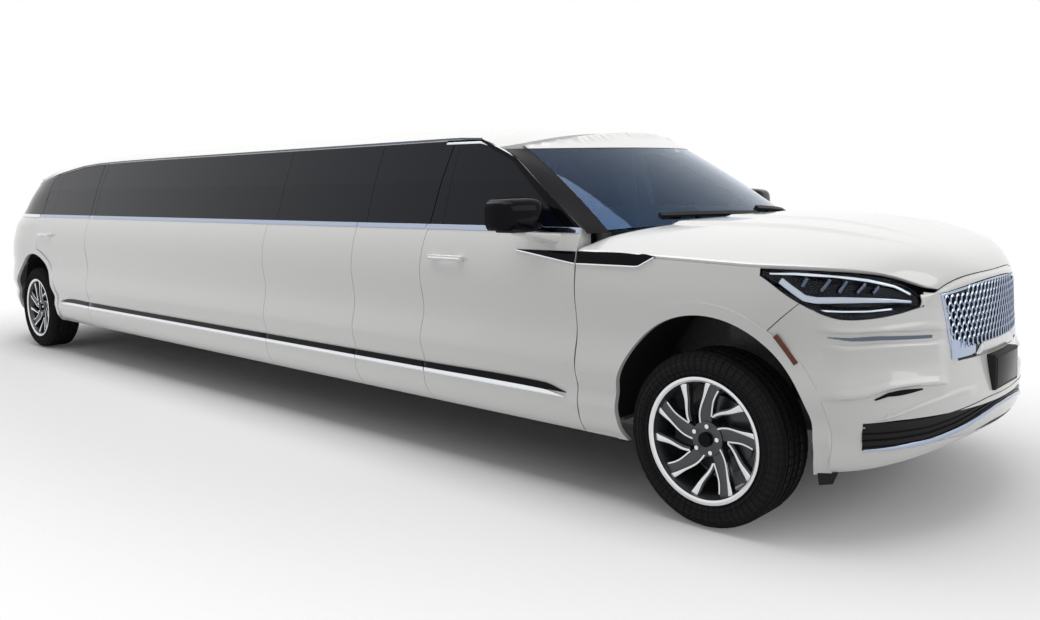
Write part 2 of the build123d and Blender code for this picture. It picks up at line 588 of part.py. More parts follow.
GATE_PIN = (ROOF_END + 28, 1676)
GATE_ARM_Y = 150
GATE_POCKET = 20
GATE_RELIEF = 39.9
RAIL_SEAT = 5 - SEAT_GAP
rail_outline = roof_line(ROOF_END - 100, FRONT_AXLE_X - 1000, RAIL_SEAT)
rail_outline += [(FRONT_AXLE_X - 1000, 1200), (ROOF_END - 100, 1200)]
with BuildPart() as rail_space:
    side_cut(rail_outline, 1100, ROOF_INNER_Y, Mode.ADD)
    side_cut(rail_outline, -ROOF_INNER_Y, -1100, Mode.ADD)
with BuildPart() as roof:
    extrude(grid_face([[roof_point(u, t) for t in roof_across] for u in roof_rows]), amount=ROOF_THICK, dir=(0, 0, -1))
    header = [screen_point(s, 1) - Vector(HEADER_GAP, 0, 0) for s in widths]
    plan_cut([(point.X, point.Y) for point in header] + [(HEAD_CORNER[0] - 130, 900), (HEAD_CORNER[0] + 900, 900),
                                                         (HEAD_CORNER[0] + 900, -900), (HEAD_CORNER[0] - 130, -900)],
             1300, 1900)
    box_between(ROOF_END + DOOR_GAP / 2, ROOF_END - 600, -1000, 1000, 1300, 1900, Mode.SUBTRACT)
    add(rail_space.part, mode=Mode.SUBTRACT)

# Windscreen pillars, from the cowl to the roof
pillar_levels = [1196, 1320, 1440, 1551, 1600]


def pillar_section(z):
    """Plan outline of the pillar at height z, between the screen edge and the door frame."""
    t = (z - FOOT_CORNER[2]) / (HEAD_CORNER[2] - FOOT_CORNER[2])
    t -= 0.86 * 4 * SCREEN_BULGE * max(t * (1 - t), 0) / (HEAD_CORNER[2] - FOOT_CORNER[2])
    edge = screen_point(1, t) if t > 0 else Vector(FOOT_CORNER) + Vector(*HEAD_CORNER) * t - Vector(*FOOT_CORNER) * t
    low, high = (PILLAR_FOOT, PILLAR_KNEE) if z <= PILLAR_KNEE[1] else (PILLAR_KNEE, PILLAR_HEAD)
    rear_x = low[0] + (high[0] - low[0]) * (z - low[1]) / (high[1] - low[1])
    rear_y = smooth(SIDE, z)
    return [(edge.X - 2, edge.Y + SCREEN_SEAT), (rear_x + 9, rear_y - 2), (rear_x + 9, rear_y - 48), (edge.X - 60, edge.Y - 22),
            (edge.X - 16, edge.Y + SCREEN_SEAT)]


with BuildPart() as pillars:
    for z in pillar_levels:
        with BuildSketch(Plane.XY.offset(z)):
            with BuildLine():
                Polyline(*pillar_section(z), close=True)
            make_face()
    loft()
    add(mirrored(pillars.part))
    add(roof.part, mode=Mode.SUBTRACT)
save(pillars.part, "windscreen_pillars")

# Rear quarter panels with the flare of the rear wheel, and the glass that wraps to the tail
quarter_plan = [("x", 620), ("x", 400), ("x", 200), ("x", 0), ("x", -150), ("x", -300), ("fan", 82), ("fan", 74),
                ("fan", 66), ("fan", 58), ("fan", 50), ("fan", 42), ("fan", 34)]
QUARTER_IN = Vector(0.6, -0.8, 0)
QUARTER_THICK = 30
GATE_HALF = 690
BUMPER_TOP_Z = 715


def quarter_face(z_values, inward=0):
    rows = []
    for kind, value in quarter_plan:
        column = []
        for z in z_values:
            x = REAR_AXLE_X + value
            point = Vector(x, skin_y(x, z), z) if kind == "x" else Vector(fan_point(value, z, False))
            column.append(point + QUARTER_IN * inward)
        rows.append(column)
    return grid_face(rows)


quarter_low = [440, 520, 603, 680, 758, 850, 943, 1035, 1125, 1175, 1222]
quarter_high = [1214, 1300, 1380, 1460, 1540, 1640]
GLASS_RUN = 8.4
with BuildPart() as flare_rear:
    extrude(skin_panel([REAR_AXLE_X + v for v in (620, 400, 200, 0, -150, -300, -400, -500, -580)],
                       [z for z in fender_z if z < 1100], FLARE_PROUD),
            amount=SKIN_THICK + FLARE_PROUD, dir=(0, -1, 0))
    arch_cut(REAR_ARCH, ARCH_RADIUS + FLARE_WIDTH, mode=Mode.INTERSECT)
    arch_cut(REAR_ARCH, ARCH_RADIUS)
with BuildPart() as quarter_frame:
    extrude(quarter_face(quarter_high, GLASS_RUN + 1.1), amount=26, dir=QUARTER_IN)
    side_cut([(REAR_AXLE_X + 60, BELT_Z + 45), (REAR_AXLE_X + 60, 1500), (REAR_AXLE_X - 300, 1470),
              (REAR_AXLE_X - 480, BELT_Z + 45)], 1100, 500)
with BuildPart() as quarter_left:
    extrude(quarter_face(quarter_low), amount=QUARTER_THICK, dir=QUARTER_IN)
    box_between(REAR_AXLE_X - 2000, REAR_AXLE_X + 800, 400, 1200, BELT_Z, 1900, Mode.SUBTRACT)
    arch_cut(REAR_ARCH, ARCH_RADIUS + 20)
    box_between(-5000, REAR_ARCH[0], 400, 1200, 0, BUMPER_TOP_Z + SEAM_GAP / 2, Mode.SUBTRACT)
    add(quarter_frame.part)
    add(flare_rear.part)
    add(rear_door_keep(DOOR_GAP), mode=Mode.SUBTRACT)
    rail_cut(ROOF_END - 300, REAR_AXLE_X + 700, 5)
    box_between(-5000, -3000, -100, GATE_HALF + DOOR_GAP, 0, 2000, Mode.SUBTRACT)
    box_between(REAR_AXLE_X - 90, REAR_AXLE_X + 90, 850, 978, 930, 960)
save(quarter_left.part, "quarter_left")
save(mirrored(quarter_left.part), "quarter_right")

with BuildPart() as quarter_glass:
    extrude(quarter_face(quarter_high), amount=GLASS_RUN, dir=QUARTER_IN)
    box_between(-5000, -2500, 400, 1200, 1000, BELT_Z + 1, Mode.SUBTRACT)
    add(rear_door_keep(DOOR_GAP + 1), mode=Mode.SUBTRACT)
    rail_cut(ROOF_END - 300, REAR_AXLE_X + 700, 6)
    box_between(-5000, -3000, -100, GATE_HALF + DOOR_GAP, 0, 2000, Mode.SUBTRACT)
    add(mirrored(quarter_glass.part))
save(quarter_glass.part, "quarter_glass")

# Tailgate: painted lower half, glass upper half over a recessed frame, roof spoiler on top
with BuildPart() as roof_done:
    add(roof.part)
    for side in (1, -1):
        box_between(GATE_PIN[0] - 40, GATE_PIN[0] + 15, side * (GATE_ARM_Y - GATE_POCKET), side * (GATE_ARM_Y + GATE_POCKET),
                    GATE_PIN[1] - 80, GATE_PIN[1] + 14, Mode.SUBTRACT)
        rod_between((GATE_PIN[0], side * (GATE_ARM_Y - 30), GATE_PIN[1]), (GATE_PIN[0], side * (GATE_ARM_Y + 30), GATE_PIN[1]),
                    PIN_RADIUS)
save(roof_done.part, "roof")


def tail_skin_x(y, z, ahead=0):
    """Station of the tail skin at a given width and height."""
    start = REAR_AXLE_X - smooth(TAIL_FROM, z)
    share = min(abs(y) / smooth(SIDE, z), 1)
    return start - (start - tail_x(z)) * (1 - share ** TAIL_POWER) ** (1 / TAIL_POWER) + ahead


def tail_face(half, z_values, ahead=0):
    return grid_face([[(tail_skin_x(t * half, z, ahead), t * half, z) for z in z_values] for t in widths])


GATE_LOW_Z = BUMPER_TOP_Z + DOOR_GAP
GATE_DEPTH = 80
LAMP_BAR = (985, 1060)
BAR_DEPTH = 12
gate_low_z = [GATE_LOW_Z, 800, 900, 1000, 1100, 1160, 1222]
gate_high_z = [1216, 1300, 1380, 1460, 1540, 1625]
gate_top_x = ROOF_END - DOOR_GAP / 2
SPOILER_THICK = 28
SPOILER_OVERHANG = 15
SPOILER_SHORTEST = 30


def roof_height(x, y):
    """Height of the roof surface carried on over the tailgate."""
    u = x - FRONT_AXLE_X
    edge, crest = smooth(ROOF_EDGE, u), smooth(ROOF_CREST, u)
    half = skin_y(FRONT_AXLE_X - 7500, edge)
    return edge + (crest - edge) * (1 - (abs(y) / half) ** ROOF_POWER)


def spoiler_point(s, y):
    """Point of the spoiler top, from its front edge to an edge that follows the tail glass."""
    low = roof_height(gate_top_x - 120, y) - SPOILER_THICK
    rear_x = min(tail_skin_x(y, low) - SPOILER_OVERHANG, gate_top_x - SPOILER_SHORTEST)
    x = gate_top_x + (rear_x - gate_top_x) * s
    return (x, y, roof_height(x, y))


def above_gate(drop):
    """Space over the roof line of the tailgate, lowered by drop."""
    rows = [[(gate_top_x - back, t * 1.1 * GATE_HALF, roof_height(gate_top_x - back, t * 1.1 * GATE_HALF) - drop)
             for t in widths] for back in (-300, -150, 0, 150, 300, 500)]
    with BuildPart() as space:
        extrude(grid_face(rows), amount=400, dir=(0, 0, 1))
    return space.part


with BuildPart() as liftgate:
    extrude(tail_face(GATE_HALF, gate_low_z), amount=GATE_DEPTH, dir=(1, 0, 0))
    box_between(-5000, -4000, -800, 800, BELT_Z, 1900, Mode.SUBTRACT)
    side_cut([(tail_x(GATE_LOW_Z) - 30, GATE_LOW_Z - 30), (tail_x(GATE_LOW_Z) + 10, GATE_LOW_Z),
              (tail_x(GATE_LOW_Z) + 400, GATE_LOW_Z + 75), (tail_x(GATE_LOW_Z) + 400, GATE_LOW_Z - 30)], 800, -800)
    extrude(tail_face(GATE_HALF + 5, [LAMP_BAR[0] - 1, 1022, LAMP_BAR[1] + 1], -5), amount=BAR_DEPTH + 5.5, dir=(1, 0, 0),
            mode=Mode.SUBTRACT)
    extrude(tail_face(GATE_HALF, gate_high_z, GLASS_THICK + 1.2), amount=45, dir=(1, 0, 0))
    with BuildSketch(Plane.YZ.offset(REAR_AXLE_X - 1200)):
        with BuildLine():
            Polyline((-580, BELT_Z + 50), (580, BELT_Z + 50), (470, 1560), (-470, 1560), close=True)
        make_face()
    extrude(amount=900, mode=Mode.SUBTRACT)
    add(above_gate(SPOILER_THICK / 2), mode=Mode.SUBTRACT)
    box_between(gate_top_x, gate_top_x + 400, -800, 800, 1300, 1900, Mode.SUBTRACT)
    extrude(grid_face([[spoiler_point(s, t * GATE_HALF) for t in widths] for s in heights]), amount=SPOILER_THICK,
            dir=(0, 0, -1))
    rod_between((GATE_PIN[0], -GATE_HALF - 10, GATE_PIN[1]), (GATE_PIN[0], GATE_HALF + 10, GATE_PIN[1]), GATE_RELIEF,
                Mode.SUBTRACT)
    for side in (1, -1):
        box_between(gate_top_x - 50, GATE_PIN[0] + 8, side * (GATE_ARM_Y - 15), side * (GATE_ARM_Y + 15), GATE_PIN[1] - 58,
                    GATE_PIN[1] - 42)
        box_between(GATE_PIN[0] - 8, GATE_PIN[0] + 8, side * (GATE_ARM_Y - 15), side * (GATE_ARM_Y + 15), GATE_PIN[1] - 58,
                    GATE_PIN[1])
        box_between(gate_top_x - 50, gate_top_x - 26, side * (GATE_ARM_Y - 15), side * (GATE_ARM_Y + 15), GATE_PIN[1] - 58,
                    GATE_PIN[1] + 6)
        rod_between((GATE_PIN[0], side * (GATE_ARM_Y - 15), GATE_PIN[1]), (GATE_PIN[0], side * (GATE_ARM_Y + 15), GATE_PIN[1]),
                    PIN_RADIUS + 5)
        rod_between((GATE_PIN[0], side * (GATE_ARM_Y - 20), GATE_PIN[1]), (GATE_PIN[0], side * (GATE_ARM_Y + 20), GATE_PIN[1]),
                    PIN_RADIUS + PIN_FIT, Mode.SUBTRACT)
save(liftgate.part, "liftgate")

with BuildPart() as gate_glass:
    extrude(tail_face(GATE_HALF, gate_high_z), amount=GLASS_THICK, dir=(1, 0, 0))
    box_between(-5000, -3000, -800, 800, 1000, BELT_Z + 2, Mode.SUBTRACT)
    for side in (1, -1):
        box_between(-5000, -3000, side * (GATE_HALF - 4), side * 800, 1000, 2000, Mode.SUBTRACT)
    box_between(gate_top_x - 5, gate_top_x + 400, -800, 800, 1300, 1900, Mode.SUBTRACT)
    add(above_gate(SPOILER_THICK + 2), mode=Mode.SUBTRACT)
save(gate_glass.part, "gate_glass")
with BuildPart() as gate_lamp:
    extrude(tail_face(GATE_HALF - 2, [LAMP_BAR[0], 1022, LAMP_BAR[1]]), amount=BAR_DEPTH, dir=(1, 0, 0))
save(gate_lamp.part, "gate_lamp")

# Rear bumper wrapped round the tail
tail_angles = [-84, -74, -64, -54, -44, -32, -20, -7, 7, 20, 32, 44, 54, 64, 74, 84]
REAR_LOW = [(0, 340), (40, 335), (84, 300)]
REAR_TOP = [(0, BUMPER_TOP_Z), (84, BUMPER_TOP_Z)]
with BuildPart() as rear_bumper:
    thicken(wrap_face(tail_angles, REAR_LOW, REAR_TOP, front=False), amount=FASCIA_THICK)
    for side in (1, -1):
        rod_between((REAR_ARCH[0], side * 400, REAR_ARCH[1]), (REAR_ARCH[0], side * 1200, REAR_ARCH[1]),
                    REAR_EDGE_RADIUS + 1, Mode.SUBTRACT)
        box_between(REAR_AXLE_X - 1138, REAR_AXLE_X - 1000.3, side * 400, side * 460, 500, 540)
    box_between(REAR_ARCH[0] - 300, REAR_ARCH[0] + 300, -1200, 1200, 200, 1000, Mode.SUBTRACT)
save(rear_bumper.part, "rear_bumper")

# Floor, sills and rear wheel houses
FLOOR_Z = (330, 372)
FLOOR_STEP_X = REAR_AXLE_X + 560
RAISED_Z = (560, 600)
HOUSE_Y = 545
with BuildPart() as floor_pan:
    box_between(FLOOR_STEP_X - 40, FRONT_AXLE_X - 560.3, -862, 862, *FLOOR_Z)
    box_between(SEAM_E + 150, SEAM_B - 20, -WALL_INNER_Y + SEAT_GAP, WALL_INNER_Y - SEAT_GAP, *FLOOR_Z)
    box_between(FLOOR_STEP_X - 40, FLOOR_STEP_X, -560, 560, FLOOR_Z[0], RAISED_Z[1])
    box_between(REAR_AXLE_X - 1000, FLOOR_STEP_X, -560, 560, *RAISED_Z)
    for side in (1, -1):
        box_between(REAR_AXLE_X - 430, REAR_AXLE_X + 480, side * HOUSE_Y, side * 560, RAISED_Z[0], 929.7)
        box_between(REAR_AXLE_X - 300, REAR_AXLE_X + 95, side * HOUSE_Y, side * 900, 897.3, 929.7)
save(floor_pan.part, "floor_pan")

# Chassis rails with cross members
RAIL_Y = (480, 560)
RAIL_Z = (240, FLOOR_Z[0] - SEAT_GAP)
with BuildPart() as chassis:
    for side in (1, -1):
        box_between(FLOOR_STEP_X - 100, FRONT_AXLE_X - 560, side * RAIL_Y[0], side * RAIL_Y[1], *RAIL_Z)
        box_between(FRONT_AXLE_X - 640, FRONT_AXLE_X - 560, side * 400, side * RAIL_Y[1], RAIL_Z[0], RAIL_Z[1])
        box_between(FRONT_AXLE_X - 560, FRONT_AXLE_X - 500, side * 400, side * 470, RAIL_Z[0], 470)
        box_between(FRONT_AXLE_X - 530, FRONT_AXLE_X + 660, side * 400, side * 470, 380, 470)
        box_between(FLOOR_STEP_X - 110, FLOOR_STEP_X - 50, side * 400, side * RAIL_Y[1], RAIL_Z[0], RAISED_Z[0] - SEAT_GAP)
        box_between(REAR_AXLE_X - 1000, FLOOR_STEP_X - 50, side * 400, side * 470, 480, RAISED_Z[0] - SEAT_GAP)
    for k in range(6):
        x = FRONT_AXLE_X - 1000 - k * 1040
        box_between(x - 40, x + 40, -RAIL_Y[0] - 20, RAIL_Y[0] + 20, 285, RAIL_Z[1])
    box_between(FRONT_AXLE_X + 660, FRONT_AXLE_X + 700, -540, 540, 560, 640)
    box_between(FRONT_AXLE_X + 620, FRONT_AXLE_X + 660, -470, 470, 380, 640)
save(chassis.part, "chassis_rails")

# Front bulkhead, hinge posts, suspension towers and radiator support
POST_X = (SEAM_A + 40, SEAM_A + 110)
STOP_RADIUS = 4
STOP_GAP = 1.5
stop = Vector(hood_point(HOOD_ROWS[6], 0.47))
with BuildPart() as front_structure:
    box_between(FRONT_AXLE_X - 560, FRONT_AXLE_X - 530, -790, 790, 470 + SEAT_GAP, 1150)
    box_between(FRONT_AXLE_X - 560, FRONT_AXLE_X - 530, -400 + SEAT_GAP, 400 - SEAT_GAP, FLOOR_Z[0], 480)
    box_between(FRONT_AXLE_X - 560, COWL_X + 20, -560, 560, 1140, 1160)
    box_between(FRONT_AXLE_X + 520, FRONT_AXLE_X + 560, -470, 470, 470.3, 1040)
    for side in (1, -1):
        box_between(FRONT_AXLE_X - 560, FRONT_AXLE_X - 530, side * (470 + SEAT_GAP), side * 790, FLOOR_Z[0], 480)
        box_between(POST_X[0], POST_X[1], side * 780, side * (850 - SEAT_GAP), FLOOR_Z[1] + SEAT_GAP, 1120)
        box_between(SEAM_A + 5, POST_X[0] + 5, side * 780, side * 838, 1000, 1196 - SEAT_GAP)
        for z in HINGE_LEVELS:
            for lift in (-34, 22):
                box_between(door_front_x + PIN_AHEAD - 14, door_front_x + PIN_AHEAD + 14, side * 800, side * (PIN_Y + 8),
                            z + lift, z + lift + 12)
            rod_between((door_front_x + PIN_AHEAD, side * PIN_Y, z - 34), (door_front_x + PIN_AHEAD, side * PIN_Y, z + 34),
                        PIN_RADIUS)
        box_between(FRONT_AXLE_X - 110, FRONT_AXLE_X + 110, side * 400, side * 560, 470.3, FRONT_ARCH[1] + 474.7)
        box_between(FRONT_AXLE_X - 540, FRONT_AXLE_X - 100, side * 400, side * 430, 600, 1000)
        box_between(FRONT_AXLE_X + 100, FRONT_AXLE_X + 530, side * 400, side * 430, 600, 900)
        rod_between((stop.X, side * stop.Y, 1030), (stop.X, side * stop.Y, stop.Z - HOOD_THICK - STOP_GAP),
                    STOP_RADIUS)
save(front_structure.part, "front_structure")

# Wheel arch liners
LINER_RADIUS = ARCH_RADIUS + 28
with BuildPart() as liners:
    for side in (1, -1):
        for centre, inner in ((FRONT_ARCH, 560 + SEAT_GAP), (REAR_ARCH, 560 + SEAT_GAP)):
            rod_between((centre[0], side * inner, centre[1]), (centre[0], side * 945, centre[1]), LINER_RADIUS + 4)
    for side in (1, -1):
        for centre, inner in ((FRONT_ARCH, 560 + SEAT_GAP), (REAR_ARCH, 560 + SEAT_GAP)):
            rod_between((centre[0], side * (inner - 5), centre[1]), (centre[0], side * 960, centre[1]), LINER_RADIUS,
                        Mode.SUBTRACT)
            box_between(centre[0] - 600, centre[0] + 600, side * 500, side * 1000, -200, 380, Mode.SUBTRACT)
        for start, end, narrow in ((FRONT_AXLE_X + 150, FRONT_AXLE_X + 540, 850), (REAR_AXLE_X - 150, REAR_AXLE_X - 560, 895)):
            taper = [(start, 945), (end, narrow), (end, 1200), (start, 1200)]
            plan_cut([(x, side * y) for x, y in taper], 0, 1200)
save(liners.part, "arch_liners")

# Engine as one plain block on the front cross member
with BuildPart() as engine:
    box_between(FRONT_AXLE_X - 420, FRONT_AXLE_X + 330, -300, 300, 290.3, 900)
    box_between(FRONT_AXLE_X - 330, FRONT_AXLE_X + 260, -240, 240, 900, 1010)
    box_between(FRONT_AXLE_X - 900, FRONT_AXLE_X - 420, -150, 150, 300, 329)
save(engine.part, "engine")

# Front cross member with the control arms and their kingpin studs
ARM_LOW_Z = (205, 232)
ARM_HIGH_Z = (496, 520)
with BuildPart() as subframe:
    box_between(FRONT_AXLE_X - 130, FRONT_AXLE_X + 130, -470, 470, 230, 290)
    for side in (1, -1):
        box_between(FRONT_AXLE_X - 130, FRONT_AXLE_X + 130, side * 400, side * 470, 280, 380 - SEAT_GAP)
        box_between(FRONT_AXLE_X - 32, FRONT_AXLE_X + 32, side * 440, side * (KINGPIN_Y + 20), *ARM_LOW_Z)
        box_between(FRONT_AXLE_X - 60, FRONT_AXLE_X + 60, side * 420, side * 480, ARM_LOW_Z[0], 260)
        rod_between((FRONT_AXLE_X, side * KINGPIN_Y, ARM_LOW_Z[0]), (FRONT_AXLE_X, side * KINGPIN_Y, 262), 10)
    for side in (1, -1):
        box_between(FRONT_AXLE_X - 26, FRONT_AXLE_X + 26, side * 560.3, side * (KINGPIN_Y + 20), *ARM_HIGH_Z)
        rod_between((FRONT_AXLE_X, side * KINGPIN_Y, 466), (FRONT_AXLE_X, side * KINGPIN_Y, ARM_HIGH_Z[1]), 10)
save(subframe.part, "front_subframe")

# Steering knuckles with spindle and brake caliper
SPINDLE_RADIUS = 27.7
DISC = (812, 836, 165)
with BuildPart() as knuckle_left:
    box_between(FRONT_AXLE_X - 30, FRONT_AXLE_X + 30, KINGPIN_Y - 22, KINGPIN_Y + 26, 237, 491)
    rod_between((FRONT_AXLE_X, KINGPIN_Y, WHEEL_Z), (FRONT_AXLE_X, 900, WHEEL_Z), SPINDLE_RADIUS)
    rod_between((FRONT_AXLE_X, KINGPIN_Y, WHEEL_Z), (FRONT_AXLE_X, 806, WHEEL_Z), 62)
    box_between(FRONT_AXLE_X - 160, FRONT_AXLE_X - 20, KINGPIN_Y - 15, KINGPIN_Y + 15, 300, 330)
    box_between(FRONT_AXLE_X - 205, FRONT_AXLE_X - 100, 790, 856, 300, 428)
    box_between(FRONT_AXLE_X - 120, FRONT_AXLE_X, 788, 804, 340, 390)
    rod_between((FRONT_AXLE_X, 806.5, WHEEL_Z), (FRONT_AXLE_X, 842, WHEEL_Z), DISC[2] + 6, Mode.SUBTRACT)
    rod_between((FRONT_AXLE_X, KINGPIN_Y, WHEEL_Z), (FRONT_AXLE_X, 900, WHEEL_Z), SPINDLE_RADIUS)
    rod_between((FRONT_AXLE_X, KINGPIN_Y, 200), (FRONT_AXLE_X, KINGPIN_Y, 268), 10 + PIN_FIT, Mode.SUBTRACT)
    rod_between((FRONT_AXLE_X, KINGPIN_Y, 460), (FRONT_AXLE_X, KINGPIN_Y, 530), 10 + PIN_FIT, Mode.SUBTRACT)
save(knuckle_left.part, "knuckle_left")
save(mirrored(knuckle_left.part), "knuckle_right")

# Rear axle with differential, springs and the long drive shaft
with BuildPart() as rear_axle:
    rod_between((REAR_AXLE_X, -800, WHEEL_Z), (REAR_AXLE_X, 800, WHEEL_Z), 45)
    rod_between((REAR_AXLE_X, -900, WHEEL_Z), (REAR_AXLE_X, 900, WHEEL_Z), SPINDLE_RADIUS)
    rod_between((REAR_AXLE_X, -110, WHEEL_Z), (REAR_AXLE_X, 110, WHEEL_Z), 120)
    rod_between((REAR_AXLE_X, 0, WHEEL_Z), (REAR_AXLE_X + 230, 0, WHEEL_Z), 60)
    for side in (1, -1):
        rod_between((REAR_AXLE_X, side * 800, WHEEL_Z), (REAR_AXLE_X, side * 806, WHEEL_Z), 70)
        rod_between((REAR_AXLE_X, side * 515, WHEEL_Z), (REAR_AXLE_X, side * 515, RAISED_Z[0] - SEAT_GAP), 38)
save(rear_axle.part, "rear_axle")
with BuildPart() as drive_shaft:
    rod_between((REAR_AXLE_X + 230 + SEAT_GAP, 0, WHEEL_Z), (REAR_AXLE_X + 260, 0, WHEEL_Z), 30)
    rod_between((REAR_AXLE_X + 250, 0, WHEEL_Z), (REAR_AXLE_X + 700, 0, 250), 30)
    rod_between((REAR_AXLE_X + 690, 0, 250), (FRONT_AXLE_X - 600, 0, 250), 34.7)
    box_between(FRONT_AXLE_X - 880, FRONT_AXLE_X - 600, -60, 60, 215, 299.7)
save(drive_shaft.part, "drive_shaft")

# Fuel tank and exhaust under the floor
with BuildPart() as fuel_tank:
    box_between(-1390, -460, -470, -70, 200, RAIL_Z[1])
    fillet(fuel_tank.edges().filter_by(Axis.X), 25)
save(fuel_tank.part, "fuel_tank")
with BuildPart() as exhaust:
    rod_between((FRONT_AXLE_X - 520, 340, 250), (FLOOR_STEP_X - 60, 340, 250), 30)
    rod_between((FLOOR_STEP_X - 50, 340, 250), (REAR_AXLE_X + 210, 340, 450), 30)
    rod_between((REAR_AXLE_X + 220, 340, 450), (REAR_AXLE_X - 560, 340, 450), 30)
    box_between(REAR_AXLE_X - 800, REAR_AXLE_X - 540, -380, 380, 390, 500)
    for side in (1, -1):
        rod_between((REAR_AXLE_X - 700, side * 300, 420), (REAR_AXLE_X - 1090, side * 300, 400), 34)
        rod_between((REAR_AXLE_X - 670, side * 300, 480), (REAR_AXLE_X - 670, side * 300, RAISED_Z[0] - SEAT_GAP), 8)
    for x in (FRONT_AXLE_X - 2040, FRONT_AXLE_X - 4120):
        rod_between((x, 340, 255), (x, 340, 285 - SEAT_GAP), 8)
save(exhaust.part, "exhaust")


# Wheels: barrel, hub with brake disc, and ten swept spokes in five pairs
SPOKE_PAIRS = 5
with BuildPart() as rim:
    with BuildSketch(Plane.XZ):
        with BuildLine():
            Polyline((236, -118), (RIM_RADIUS - SEAT_GAP, -118), (RIM_RADIUS - SEAT_GAP, 113.6), (RIM_RADIUS + 6, 113.6),
                     (RIM_RADIUS + 6, 119), (240, 119), (228, 96), (228, -105), close=True)
        make_face()
    revolve(axis=Axis.Z)
    with BuildSketch(Plane.XY.offset(62)) as spokes:
        with PolarLocations(0, SPOKE_PAIRS):
            with BuildLine():
                Polyline((60, -20), (150, 2), (236, 46), (236, 20), (155, -26), (60, -46), close=True)
            make_face()
            with BuildLine():
                Polyline((55, 34), (140, 74), (224, 72), (224, 46), (150, 48), (66, 6), close=True)
            make_face()
    extrude(amount=36)
    with Locations((0, 0, -20)):
        Cylinder(78, 125, align=(Align.CENTER, Align.CENTER, Align.MIN))
    with Locations((0, 0, DISC[0] - WHEEL_Y)):
        Cylinder(DISC[2], DISC[1] - DISC[0], align=(Align.CENTER, Align.CENTER, Align.MIN))
    with Locations((0, 0, -60)):
        Cylinder(SPINDLE_RADIUS + PIN_FIT, 112, align=(Align.CENTER, Align.CENTER, Align.MIN), mode=Mode.SUBTRACT)
with BuildPart() as tyre:
    half = TYRE_WIDTH / 2
    with BuildSketch(Plane.XZ):
        with BuildLine():
            Line((RIM_RADIUS, -100), (RIM_RADIUS, 100))
            Line((RIM_RADIUS, 100), (RIM_RADIUS + 8, 113))
            ThreePointArc((RIM_RADIUS + 8, 113), (RIM_RADIUS + 52, half), (WHEEL_Z - 18, half - 14))
            ThreePointArc((WHEEL_Z - 18, half - 14), (WHEEL_Z - 5, half - 22), (WHEEL_Z, half - 38))
            Line((WHEEL_Z, half - 38), (WHEEL_Z, 38 - half))
            ThreePointArc((WHEEL_Z, 38 - half), (WHEEL_Z - 5, 22 - half), (WHEEL_Z - 18, 14 - half))
            ThreePointArc((WHEEL_Z - 18, 14 - half), (RIM_RADIUS + 52, -half), (RIM_RADIUS + 8, -113))
            Line((RIM_RADIUS + 8, -113), (RIM_RADIUS, -100))
        make_face()
    revolve(axis=Axis.Z)
for corner, x, side in (("front_left", FRONT_AXLE_X, 1), ("front_right", FRONT_AXLE_X, -1),
                        ("rear_left", REAR_AXLE_X, 1), ("rear_right", REAR_AXLE_X, -1)):
    place = Location((x, WHEEL_Y, WHEEL_Z), (-90, 0, 0))
    for solid, label in ((rim.part, "wheel_"), (tyre.part, "tyre_")):
        placed = solid.moved(place)
        save(placed if side > 0 else mirrored(placed), label + corner)

# Cabin: dashboard with column, steering wheel, seats, partition and bar
WHEEL_HUB = (FRONT_AXLE_X - 1030, 400, 1100)
COLUMN_RUN = Vector(cos(radians(25)), 0, -sin(radians(25)))
with BuildPart() as dashboard:
    with BuildSketch(Plane.XZ.offset(-760)):
        with BuildLine():
            Polyline((FRONT_AXLE_X - 560.3, 1130), (FRONT_AXLE_X - 780, 1125), (FRONT_AXLE_X - 900, 1040),
                     (FRONT_AXLE_X - 880, 880), (FRONT_AXLE_X - 760, 760), (FRONT_AXLE_X - 560.3, 760), close=True)
        make_face()
    extrude(amount=1520)
    rod_between(tuple(Vector(WHEEL_HUB) + COLUMN_RUN * 25.3), tuple(Vector(WHEEL_HUB) + COLUMN_RUN * 240), 28)
    box_between(FRONT_AXLE_X - 1500, FRONT_AXLE_X - 800, -120, 120, FLOOR_Z[1] + SEAT_GAP, 700)
save(dashboard.part, "dashboard")
with BuildPart() as steering_wheel:
    wheel_plane = Plane(origin=WHEEL_HUB, z_dir=COLUMN_RUN)
    with Locations(wheel_plane):
        Torus(178, 15)
        Cylinder(45, 40)
        for turn in (0, 120, 240):
            with Locations(Rotation(0, 0, turn)):
                with Locations((0, -105, 0)):
                    Box(30, 146, 14)
    with Locations(wheel_plane.offset(5)):
        Cylinder(38, 40)
save(steering_wheel.part, "steering_wheel")
with BuildPart() as front_seats:
    for side in (1, -1):
        box_between(FRONT_AXLE_X - 1830, FRONT_AXLE_X - 1320, side * 150, side * 690, FLOOR_Z[1] + SEAT_GAP, 660)
        box_between(FRONT_AXLE_X - 1960, FRONT_AXLE_X - 1820, side * 160, side * 680, 560, 1200)
        box_between(FRONT_AXLE_X - 1950, FRONT_AXLE_X - 1860, side * 290, side * 550, 1200, 1370)
save(front_seats.part, "front_seats")
PARTITION_X = (FRONT_AXLE_X - 2110, FRONT_AXLE_X - 2070)
with BuildPart() as partition:
    with BuildSketch(Plane.YZ.offset(PARTITION_X[0])):
        with BuildLine():
            Polyline((-866, FLOOR_Z[1] + SEAT_GAP), (866, FLOOR_Z[1] + SEAT_GAP), (866, BELT_Z), (728, 1634), (-728, 1634),
                     (-866, BELT_Z), close=True)
        make_face()
        with Locations((0, 1400)):
            RectangleRounded(1100, 330, 40, mode=Mode.SUBTRACT)
    extrude(amount=PARTITION_X[1] - PARTITION_X[0])
save(partition.part, "partition")
LOUNGE_X = (-1700, PARTITION_X[0] - SEAT_GAP)
